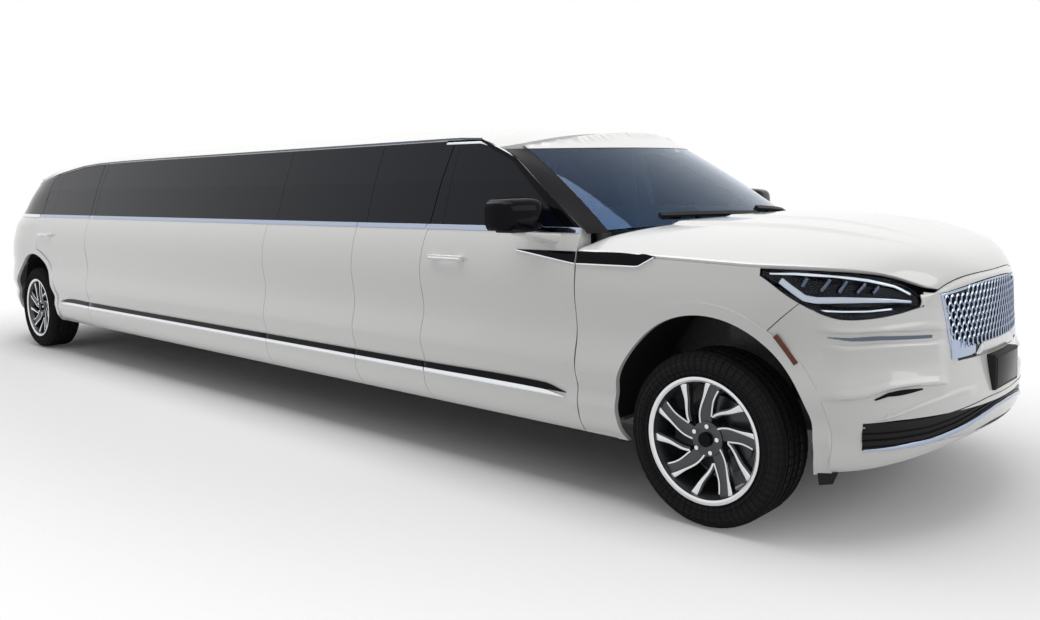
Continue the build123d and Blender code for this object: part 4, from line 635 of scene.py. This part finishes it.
def raised(name, hand, low, top, rise, profile):
    first, last = max(low[0][0], top[0][0]), min(low[-1][0], top[-1][0])

    def place(s, t):
        angle = first + (last - first) * s
        z = smooth(low, angle) + (smooth(top, angle) - smooth(low, angle)) * t
        return nose_point(hand * angle, z, .0004 + rise * swell(s) * smooth(profile, t))
    return drape(name, 60, 40, place, .002, 0)


for hand, side in HANDS:
    for kind, low, top, rise, profile in CHEEKS:
        hand_over(raised(f"{kind}_{side}", hand, low, top, rise, profile), "body", *PAINT)
print("cheeks raised:", 2 * len(CHEEKS))


def nose_line(name, hand, path, wide, out, thick=.004, steps=30, soften=.001):
    """A strip centred on a path of (angle, height) over the nose. Its width may be a table by share."""
    def place(s, t):
        here, ahead = along(path, max(s - .004, 0)), along(path, min(s + .004, 1))
        angle, z = along(path, s)
        base = nose_point(hand * angle, z)
        normal = (nose_point(hand * angle, z, .01) - base).normalized()
        run = nose_point(hand * ahead[0], ahead[1]) - nose_point(hand * here[0], here[1])
        side = normal.cross(run.normalized()).normalized()
        half = (wide if isinstance(wide, float) else smooth(wide, s)) / 2
        return base + side * half * (2 * t - 1) + normal * out
    return drape(name, steps, 2, place, thick, soften)


# %% [markdown]
# ## Headlamps
# Behind each clear cover is a dark bowl. A bright brow runs along its top, an L of frosted light guide under it, and
# five slanted fins stand between them. The cover is a thin clear sheet flush with the bumper.

# %% Headlamp bowls, guides, fins and covers
LAMP_TOP = ((49, .94), (51, .977), (55.4, 1.016), (61.7, 1.044), (72.2, 1.069), (80.8, 1.078), (88, 1.076))
LAMP_LOW = ((49, .929), (61.9, .9), (72.1, .903), (80.6, .971), (88, 1.061))
BROW = ((86.5, 1.066), (80.8, 1.067), (72.4, 1.058), (64.5, 1.037), (57.1, 1.008), (52.2, .974))
GUIDE = ((84, 1.042), (81.2, 1.007), (78.6, .976), (76.2, .968), (70.5, .967), (64.6, .963), (57.3, .955), (51.7, .945))
BROW_WIDE, GUIDE_WIDE = ((0, .006), (.3, .011), (1, .008)), ((0, .026), (.4, .024), (1, .01))
FOOT_LINE = ((77, .931), (70.5, .924), (64.6, .921), (58.0, .924))
FINS = (((78.05, 1.052), (79.1, 1.019)), ((73.05, 1.045), (75.05, 1.001)), ((69.3, 1.036), (71.1, .995)),
        ((64.8, 1.025), (66.85, .992)), ((61.35, 1.011), (62.95, .987)))
LAMP_FROM, LAMP_SPAN = 49, 39


def lamp_patch(name, hand, depth, dish, thick):
    def place(s, t):
        angle = LAMP_FROM + LAMP_SPAN * s
        low, high = smooth(LAMP_LOW, angle), smooth(LAMP_TOP, angle)
        rim = min(1, 7 * min(s, 1 - s), 4 * min(t, 1 - t))
        return nose_point(hand * angle, low + (high - low) * t, -depth - dish * rim)
    return drape(name, 48, 12, place, thick, 0)


for hand, side in HANDS:
    bowl = lamp_patch(f"lamp_bowl_{side}", hand, .004, .034, .002)
    hand_over(bowl, "body", "lamp_black", "lamp", *(("headlamps",) if hand < 0 else ()))
    bright = [nose_line("brow", hand, BROW, BROW_WIDE, -.012, .01, 40),
              nose_line("foot", hand, FOOT_LINE, .007, -.014, .008, 24)]
    hand_over(joined(f"lamp_bright_{side}", bright), "body", "bright_plating", "lamp")
    guide = nose_line(f"lamp_guide_{side}", hand, GUIDE, GUIDE_WIDE, -.014, .012, 60, .003)
    hand_over(guide, "body", "lamp_white", "lamp")
    fins = [nose_line("fin", hand, fin, .012, -.018, .012, 6) for fin in FINS]
    hand_over(joined(f"lamp_fins_{side}", fins), "body", "dark_plating", "lamp")
    cover = lamp_patch(f"lamp_cover_{side}", hand, -.0005, 0.0, .002)
    hand_over(cover, "body", "lamp_cover", "lamp")
    marker = nose_line(f"side_marker_{side}", hand, ((84.9, .833), (80.5, .728)), .02, .0095, .004, 12)
    hand_over(marker, "body", "lamp_amber", "lamp")
print("headlamps: bowl, brow, guide,", len(FINS), "fins and cover each")

# %% [markdown]
# ## Grille
# The grille is a bright frame round a dark panel, filled with rows of plated loops, every second row shifted by half
# a pitch. One loop is a torus with few sides, stretched upright, and the rest are copies set onto the nose. A blank
# black plate holder hangs under it.

# %% Grille loops, frame, tray and plate holder
GRILLE_SIDE = ((41.2, .968), (40.1, .909), (37.2, .761), (35.9, .712))
LOOP_COLUMN, LOOP_ROW, LOOP_STRETCH = .036, .0285, 1.62
CROWN_HALF, CROWN_RISE = .43, .03
UP = Vector((0, 0, 1))


def grille_half(z):
    return abs(nose_point(smooth(tuple((h, a) for a, h in reversed(GRILLE_SIDE)), z), z).y)


loops = []
row = 0
height = .765
while height < .985:
    half = grille_half(min(height, .967)) - .018
    count = int(half / LOOP_COLUMN)
    for k in range(-count - 1, count + 2):
        y = (k + .5 * (row % 2)) * LOOP_COLUMN
        if abs(y) > half or height > .978 - CROWN_RISE * (y / CROWN_HALF) ** 2:
            continue
        clear()
        bpy.ops.mesh.primitive_torus_add(major_segments=12, minor_segments=3, major_radius=.0128, minor_radius=.0032)
        loop = bpy.context.object
        normal = (nose_at(y, height, .01) - nose_at(y, height)).normalized()
        right = UP.cross(normal).normalized()
        centre = nose_at(y, height, .003)
        for point in loop.data.vertices:
            point.co = centre + right * point.co.x + UP * point.co.y * LOOP_STRETCH + normal * point.co.z
        loops.append(loop)
    row += 1
    height += LOOP_ROW
mesh = joined("grille_loops", loops)
shade(mesh, 60)
hand_over(mesh, "body", *BLUE)
crown = [(-40.8 + 81.6 * k / 24, .962 + CROWN_RISE * (1 - (k / 12 - 1) ** 2)) for k in range(25)]
frame_parts = [nose_line("crown", 1, crown, .012, .004, .014, 60, .003)]
frame_parts += [nose_line("cheek", hand, GRILLE_SIDE, .013, .004, .014, 40, .003) for hand in (-1, 1)]
for hand in (-1, 1):
    def corner(s, t, hand=hand):
        angle = 21 + 16.2 * s
        return nose_point(hand * angle, .706 + (.04 + .04 * s) * t, .006 - .01 * (1 - s))
    frame_parts.append(drape("corner", 12, 6, corner, .01, .002))
hand_over(joined("grille_frame", frame_parts), "body", *BLUE)


def tray(s, t):
    angle = -22 + 44 * s
    edge = min(1, 8 * min(s, 1 - s))
    return nose_point(angle, .696 + (.012 + .042 * edge) * t, .01 * math.sin(math.pi * t) - .002)


hand_over(drape("grille_tray", 40, 8, tray, .012, .002), "body", *PAINT)
tip = nose_at(0, .62).x
holder = block("plate_holder", (tip - .02, -.1525, .545), (tip + .02, .1525, .692), .006)
inner = block("plate_blank", (tip + .01, -.14, .5575), (tip + .0225, .14, .68), .002)
hand_over(holder, "body", *PLASTIC)
hand_over(inner, "body", *BLACK)
print("grille loops:", len(loops), "faces", len(mesh.data.polygons))

# %% [markdown]
# ## Lower nose
# A black slot crosses the bumper under the plate, with slats in it and a plated blade below that turns up at its
# ends. The scoops hold a black slat. Parking sensors are small round buttons.

# %% Slot, blade, scoop slats and sensors
BLADE = ((0, .487), (12, .48), (22, .462), (37, .424), (47, .402), (58, .394), (66, .396))
BLADE_WIDE = ((0, .006), (.12, .02), (.5, .012), (.88, .02), (1, .006))
SLOT_TOP = ((0, .527), (17, .527), (25, .52), (47, .499), (66, .501))
LIP_LOW = ((0, .417), (14, .414), (43, .352), (57, .322), (66, .306))
SLOT_END, SLAT_FOOT = 66, .012
SCOOP_SLAT = ((63.2, .59), (59.9, .606), (54.0, .611), (49.6, .613))
# Path of the dark strip in each groove: partly the grey trim there, partly painted shade along the groove's lower edge.
GROOVE_TRIM_AND_SHADE = ((45.3, .807), (61.8, .819), (69.0, .819), (74.0, .829))
SENSOR_Y, SENSOR_Z = .731, .519


def swept(path):
    return [(-a, z) for a, z in reversed(path[1:])] + list(path)


hand_over(nose_line("blade", 1, swept(BLADE), BLADE_WIDE, .006, .012, 120, .003), "body", *BLUE)


def lip(s, t):
    angle = -SLOT_END + 2 * SLOT_END * s
    low = smooth(LIP_LOW, abs(angle))
    return nose_point(angle, low + (smooth(BLADE, abs(angle)) - .008 - low) * t, .004)


hand_over(drape("nose_lip", 90, 8, lip, .006, .001), "body", *PAINT)
slats = []
for share in (0.0, .28, .56, .84):
    path = [(a, smooth(BLADE, a) + SLAT_FOOT + (smooth(SLOT_TOP, a) - smooth(BLADE, a) - SLAT_FOOT) * share)
            for a, z in BLADE]
    slats.append(nose_line("slat", 1, swept(path), .006, .001 - .006 * share, .012, 90))
hand_over(joined("slot_slats", slats), "body", *BLACK)


def slot_back(s, t):
    angle = -SLOT_END + 2 * SLOT_END * s
    low = smooth(BLADE, abs(angle))
    return nose_point(angle, low + (smooth(SLOT_TOP, abs(angle)) - low) * t, .0015 - .008 * math.sin(math.pi * t))


hand_over(drape("slot_back", 90, 6, slot_back, .002, 0), "body", *PLASTIC)
for hand, side in HANDS:
    slat = nose_line(f"scoop_slat_{side}", hand, SCOOP_SLAT, ((0, .006), (.5, .02), (1, .006)), .003, .004, 24)
    hand_over(slat, "body", *BLACK)
    clear()
    spot = nose_at(hand * SENSOR_Y, SENSOR_Z)
    normal = (nose_at(hand * SENSOR_Y, SENSOR_Z, .01) - spot).normalized()
    bpy.ops.mesh.primitive_cylinder_add(vertices=20, radius=.012, depth=.008, location=spot + normal * .001,
                                        rotation=normal.to_track_quat("Z", "Y").to_euler())
    button = named(f"sensor_{side}")
    soften_edges(button, .0015)
    shade(button)
    hand_over(button, "body", *PAINT)
    # A dark plated strip low in each groove under the lamp: partly the grey trim strip, partly painted shade along the
    # groove's lower edge.
    groove = nose_line(f"groove_trim_and_shade_{side}", hand, GROOVE_TRIM_AND_SHADE, ((0, .013), (.7, .015), (1, .003)), .0015,
                       .002, 40)
    hand_over(groove, "body", *DARK)
print("lower nose dressed")

# %% [markdown]
# ## Under the bumper
# A black flap hangs under each corner of the bumper, ahead of the wheel, and turns the air away from the tyre.

# %% Air flaps
FLAP = ((.452, .866, .33), (.462, .866, .25), (.5, .826, .25), (.53, .812, .33))
for hand, side in HANDS:
    def flap(s, t, hand=hand):
        rear = Vector(FLAP[0]).lerp(Vector(FLAP[1]), 1 - t)
        front = Vector(FLAP[3]).lerp(Vector(FLAP[2]), 1 - t)
        spot = rear.lerp(front, s)
        return Vector((FRONT_AXLE + spot.x, hand * spot.y, spot.z))
    hand_over(drape(f"air_flap_{side}", 6, 4, flap, .005, .001), "body", *PLASTIC)
print("air flaps hung")

# %% [markdown]
# ## Window frames
# On the car the frame of each front door is black, so the side reads as one dark band up to the windscreen. The
# cladding is a strip of gloss black between the edge of the glass and the pillar, and it rides on the door.

# %% Black cladding on the door frames
GLASS_EDGE = ((-.748, 1.222), (-.96, 1.383), (-1.165, 1.536), (-1.435, 1.646), (-1.695, 1.648))
PILLAR_EDGE = ((-.652, 1.222), (-.9, 1.387), (-1.15, 1.553), (-1.425, 1.657), (-1.695, 1.659))


def cladding(name, hand):
    def place(s, t):
        low, high = along(GLASS_EDGE, s), along(PILLAR_EDGE, s)
        spot = low + (high - low) * t
        return side_point(FRONT_AXLE + spot.x, spot.y, hand, .0022)
    return drape(name, 70, 3, place, .003, .0008)


for hand, side in HANDS:
    hand_over(cladding(f"frame_cladding_{side}", hand), f"front_door_{side}", *BLACK)
print("door frames clad")

# %% [markdown]
# ## Door mirrors
# A mirror is a gloss-black shell, rounded at the front and cut off flat at the back, where the glass sits. A flat
# foot in body colour carries it. The shell is a cube, subdivided and smoothed by a subdivision surface, then trimmed
# by a bisect.

# %% Mirror shells, glass and feet
MIRROR_X, MIRROR_Y, MIRROR_Z = FRONT_AXLE - .905, 1.094, 1.277
MIRROR_CUT, MIRROR_LOW = MIRROR_X - .062, 1.2165
# The foot's corners: place along the car by (front, outer), height by (top, outer) and width by outer.
FOOT_X = {(1, 1): MIRROR_X + .052, (1, 0): MIRROR_X + .15, (0, 1): MIRROR_X - .045, (0, 0): MIRROR_X + .005}
FOOT_Z = {(1, 1): 1.206, (1, 0): 1.19, (0, 1): 1.192, (0, 0): 1.15}
FOOT_Y = {1: 1.085, 0: .945}


def mirror_shell(name, hand):
    clear()
    bpy.ops.mesh.primitive_cube_add(size=1)
    shell = named(name)
    open_all(shell)
    bpy.ops.mesh.subdivide(number_cuts=1)
    bpy.ops.object.mode_set(mode="OBJECT")
    modify(shell, "SUBSURF", levels=4)
    for point in shell.data.vertices:
        share = point.co.y + .5
        tall = .182 - .026 * share
        deep = .3 - .07 * share
        point.co = (MIRROR_X - .05 + deep * point.co.x - .022 * share, hand * (MIRROR_Y + .272 * point.co.y),
                    MIRROR_Z + tall * point.co.z + .004 * share)
    outward(shell)
    open_all(shell)
    bpy.ops.mesh.bisect(plane_co=(MIRROR_CUT, 0, 0), plane_no=(1, 0, 0), clear_inner=True, use_fill=True)
    bpy.ops.mesh.select_all(action="SELECT")
    bpy.ops.mesh.bisect(plane_co=(0, 0, MIRROR_LOW), plane_no=(0, 0, 1), clear_inner=True, use_fill=True)
    bpy.ops.object.mode_set(mode="OBJECT")
    shade(shell, 30)
    return shell


for hand, side in HANDS:
    door = f"front_door_{side}"
    hand_over(mirror_shell(f"mirror_shell_{side}", hand), door, *BLACK, f"mirror_{side}")
    low, high = sorted((hand * 1.01, hand * 1.172))
    hand_over(block(f"mirror_glass_{side}", (MIRROR_X - .0655, low, 1.2265), (MIRROR_X - .0605, high, 1.336), .002),
              door, *PLATED)
    low, high = sorted((hand * 1.0, hand * 1.168))
    hand_over(block(f"mirror_band_{side}", (MIRROR_X - .06, low, 1.204), (MIRROR_X + .052, high, 1.22), .006),
              door, *PLASTIC)
    clear()
    bpy.ops.mesh.primitive_cube_add(size=1)
    foot = named(f"mirror_foot_{side}")
    for point in foot.data.vertices:
        outer = point.co.y > 0
        point.co = (FOOT_X[point.co.x > 0, outer], hand * FOOT_Y[outer], FOOT_Z[point.co.z > 0, outer])
    outward(foot)
    soften_edges(foot, .005, 3, 30)
    shade(foot)
    hand_over(foot, door, *PAINT)
print("mirrors dressed")

# %% [markdown]
# ## Hood
# The pressed hood has a raised middle with two soft creases a side that fade towards the grille. The sheet is a fine
# grid pushed onto the same rows that shaped the solid, with the creases added as two low steps, then thickened. A
# narrow lip closes it down to the grille.

# %% Hood with its creases
HOOD_ROWS = ((-.64, 0, 1.121, 1.25), (-.42, 0, 1.117, 1.243), (-.2, 0, 1.112, 1.24), (0, 0, 1.106, 1.238),
             (.2, 0, 1.1, 1.23), (.4, 0, 1.097, 1.208), (.54, .01, 1.086, 1.18), (.64, .025, 1.064, 1.15),
             (.7, .04, 1.03, 1.115), (.74, .052, 1.0, 1.075), (.765, .06, .986, 1.032))
HOOD_BOW, HOOD_EDGE, HOOD_CREST = (tuple((row[0], row[k]) for row in HOOD_ROWS) for k in (1, 2, 3))
HOOD_BACK, HOOD_FRONT = HOOD_ROWS[0][0], HOOD_ROWS[-1][0]
HOOD_MIDDLE, HOOD_DROP, ARC_HALF = 3.512, .36, .83
HOOD_REAR = ((ARC_HALF, 3.152), (.93, 3.096), (.947, 3.072))
LIP_HALF, LIP_Z = .575, .972
CREASES = ((.6, .04, .013), (.33, .04, .009))


def step(value, edge, soft):
    """1 inside the edge, 0 outside, with a smooth slope between."""
    share = min(max((edge - value) / soft + .5, 0), 1)
    return share * share * (3 - 2 * share)


def hood_rear(y):
    y = abs(y)
    if y < ARC_HALF:
        return HOOD_MIDDLE - HOOD_DROP * (y / ARC_HALF) ** 2
    return smooth(HOOD_REAR, y)


def hood_place(s, t):
    across = 2 * s - 1
    start = HOOD_BACK
    for k in range(6):
        half = abs(side_point(FRONT_AXLE + start, smooth(HOOD_EDGE, start), 1).y)
        start = max(hood_rear(across * half) - FRONT_AXLE, HOOD_BACK)
    u = start + (HOOD_FRONT - start) * t
    edge, crest = smooth(HOOD_EDGE, u), smooth(HOOD_CREST, u)
    half = abs(side_point(FRONT_AXLE + u, edge, 1).y)
    z = edge + (crest - edge) * (1 - abs(across) ** 4)
    fade = step(u, .5, .45)
    for place, soft, tall in CREASES:
        wander = place * (1 - .1 * t)
        z += tall * fade * step(abs(across), wander, soft)
    return Vector((FRONT_AXLE + u + smooth(HOOD_BOW, u) * (1 - across * across), across * half, z))


hood_sheet = drape("hood_sheet", 120, 60, hood_place, .018, .003)
hand_over(hood_sheet, "hood", *PAINT, "hood")


def hood_lip(s, t):
    y = LIP_HALF * (2 * s - 1)
    across = y / abs(hood_place(1, 1).y)
    rise = CROWN_RISE * (1 - (y / CROWN_HALF) ** 2) if abs(y) < CROWN_HALF else 0
    foot = nose_at(y, LIP_Z + rise, .004)
    head = hood_place((across + 1) / 2, 1) - Vector((.004, 0, .006))
    spot = foot.lerp(head, t)
    spot.x += .006 * math.sin(math.pi * t)
    return spot


lip_piece = drape("hood_nose_lip", 70, 6, hood_lip, .004, 0)
hand_over(lip_piece, "hood", *PAINT)
print("hood faces:", len(hood_sheet.data.polygons))

# %% [markdown]
# ## Roof lip
# The painted roof laps over the top of the windscreen and hides the glued edge of the glass. The lip is a copy of the
# glass, pushed out by a millimetre and cut down to its top by a bisect.

# %% Painted lip along the top of the windscreen
roof_lip = copied(nodes["windscreen"], "roof_lip")
outward(roof_lip)
LIP_FOOT = Vector((2.56, 0, 1.6))
for point in roof_lip.data.vertices:
    point.co += Vector((.0008, 0, .0012))
open_all(roof_lip)
bpy.ops.mesh.bisect(plane_co=LIP_FOOT, plane_no=(0, 0, 1), clear_inner=True, use_fill=True)
bpy.ops.object.mode_set(mode="OBJECT")
shade(roof_lip, 30)
hand_over(roof_lip, "body", *PAINT)
print("roof lip faces:", len(roof_lip.data.polygons))

# %% [markdown]
# ## Seats
# Seats are foam under leather, so their edges are round and their faces swell a little. Each solid is copied,
# remeshed into even small faces and smoothed until the sharp edges are gone.

# %% Soft seats
for node_name in ("front_seats", "lounge_seats"):
    cushion = copied(nodes[node_name], node_name + "_soft")
    outward(cushion)
    modify(cushion, "REMESH", mode="VOXEL", voxel_size=.014)
    modify(cushion, "SMOOTH", factor=.5, iterations=14)
    shade(cushion, 60)
    hand_over(cushion, "body", "black_leather", "leather_black", node_name)
    print(node_name, "faces", len(cushion.data.polygons))

# %% [markdown]
# ## Tail
# The tail is not in the picture, so it keeps to what the type needs: a plated lip on the lamp bar, a grip in the
# tailgate, a black insert and reflectors in the bumper, and two tail pipes.

# %% Lamp lip, grip, insert, reflectors and pipes
PIPE_Y, PIPE_Z = .52, .325


def tail_strip(name, low, high, half, out, thick):
    def place(s, t):
        return tail_at(half * (2 * s - 1), low + (high - low) * t, out)
    return drape(name, 60, 3, place, thick, .001)


hand_over(tail_strip("lamp_lip", 1.0635, 1.0755, .684, .004, .006), "liftgate", *PLATED)
hand_over(tail_strip("gate_grip", .93, .96, .3, .002, .004), "liftgate", *PLASTIC)
hand_over(tail_strip("bumper_insert", .4, .47, .56, .003, .006), "body", *PLASTIC)
for hand, side in HANDS:
    def reflector(s, t, hand=hand):
        return tail_at(hand * (.6 + .16 * s), .52 + .035 * t, .003)
    hand_over(drape(f"reflector_{side}", 12, 3, reflector, .005, .001), "body", "lamp_red", "lamp_red")
    mouth = tail_at(hand * PIPE_Y, .4).x
    clear()
    bpy.ops.mesh.primitive_cylinder_add(vertices=40, radius=.036, depth=.12, end_fill_type="NOTHING",
                                        location=(mouth + .09, hand * PIPE_Y, PIPE_Z), rotation=(0, math.pi / 2, 0))
    pipe = named(f"tail_pipe_{side}")
    modify(pipe, "SOLIDIFY", thickness=.003)
    shade(pipe)
    hand_over(pipe, "body", *PLATED)
print("tail dressed")

# %% [markdown]
# ## Studio and camera
# A pale floor and a pale world light the car evenly, and one large soft panel above gives the roof and the hood their
# brightness. The camera stands where the photographer stood: its place, turn and focal length were fitted to the
# wheels and body lines of the picture.

# %% Floor, light and camera
PAPER_LONG, PAPER_WIDE = 6.2, 3.0
WORLD_LIGHT, WORLD_SEEN = .36, 1.0
clear()
bpy.ops.mesh.primitive_plane_add(size=120, location=(0, 0, -.002))
floor = bpy.context.object
floor.name = "studio_floor"
paper = bpy.data.materials.new("studio_paper")
paper.use_nodes = True
sheet = paper.node_tree
base = sheet.nodes["Principled BSDF"]
base.inputs["Base Color"].default_value, base.inputs["Roughness"].default_value = (.86, .86, .86, 1), .9
spot, stretch, reach, fade, clear_sheet, blend = grow(sheet, "TexCoord", "Mapping", "VectorMath", "MapRange",
                                                      "BsdfTransparent", "MixShader")
stretch.inputs["Scale"].default_value = (1 / PAPER_LONG, 1 / PAPER_WIDE, 0)
reach.operation = "LENGTH"
fade.interpolation_type = "SMOOTHSTEP"
fade.inputs["From Min"].default_value, fade.inputs["From Max"].default_value = .55, 1.15
wire(sheet, (spot, "Object", stretch, "Vector"), (stretch, "Vector", reach, 0), (reach, "Value", fade, "Value"),
     (fade, "Result", blend, "Fac"), (base, "BSDF", blend, 1), (clear_sheet, "BSDF", blend, 2),
     (blend, "Shader", sheet.nodes["Material Output"], "Surface"))
floor.data.materials.append(paper)


def soft_panel(name, place, aim, size, power):
    clear()
    bpy.ops.object.light_add(type="AREA", location=place)
    lamp = bpy.context.object
    lamp.name = name
    lamp.data.shape, lamp.data.size, lamp.data.size_y, lamp.data.energy = "RECTANGLE", size[0], size[1], power
    lamp.rotation_euler = (Vector(aim) - Vector(place)).to_track_quat("-Z", "Y").to_euler()


soft_panel("top_panel", (.5, -1.0, 7.0), (.5, -.6, .8), (12, 4), 400)
soft_panel("front_panel", (11.0, 2.0, 4.0), (3.5, 0, .8), (5, 4), 110)
world = bpy.data.worlds.new("studio_world")
bpy.context.scene.world = world
world.use_nodes = True
sky = world.node_tree
back = sky.nodes["Background"]
path, low, seen, strength = grow(sky, "LightPath", "Math", "Math", "MapRange")
low.operation = seen.operation = "MAXIMUM"
strength.inputs["To Min"].default_value, strength.inputs["To Max"].default_value = WORLD_LIGHT, WORLD_SEEN
wire(sky, (path, "Is Camera Ray", low, 0), (path, "Is Transmission Ray", low, 1), (low, 0, seen, 0),
     (path, "Is Glossy Ray", seen, 1), (seen, 0, strength, "Value"), (strength, "Result", back, "Strength"))
back.inputs["Color"].default_value = (1, 1, 1, 1)

PHOTO_WIDTH, PHOTO_HEIGHT, FOCAL, FILM = 1040, 620, 929.86, 36.0
CENTRE, STAND = (551.42, 247.01), (5.7574, -4.1413, 1.4327)
YAW, PITCH, ROLL = (math.radians(a) for a in (131.869, -4.044, -1.103))
camera_data = bpy.data.cameras.new("photo_camera")
camera = bpy.data.objects.new("photo_camera", camera_data)
bpy.context.scene.collection.objects.link(camera)
camera_data.sensor_fit, camera_data.sensor_width = "HORIZONTAL", FILM
camera_data.lens = FOCAL / PHOTO_WIDTH * FILM
camera_data.shift_x = (PHOTO_WIDTH / 2 - CENTRE[0]) / PHOTO_WIDTH
camera_data.shift_y = (CENTRE[1] - PHOTO_HEIGHT / 2) / PHOTO_WIDTH
look = Vector((math.cos(PITCH) * math.cos(YAW), math.cos(PITCH) * math.sin(YAW), math.sin(PITCH)))
right = look.cross(UP).normalized()
up = right.cross(look)
right, up = math.cos(ROLL) * right + math.sin(ROLL) * up, -math.sin(ROLL) * right + math.cos(ROLL) * up
turn = Matrix((right, up, -look)).transposed().to_4x4()
camera.matrix_world = Matrix.Translation(STAND) @ turn
camera_data.clip_end = 200
bpy.context.scene.camera = camera
bpy.context.scene.view_settings.view_transform = "Standard"
print("camera at", [round(c, 2) for c in camera.location])
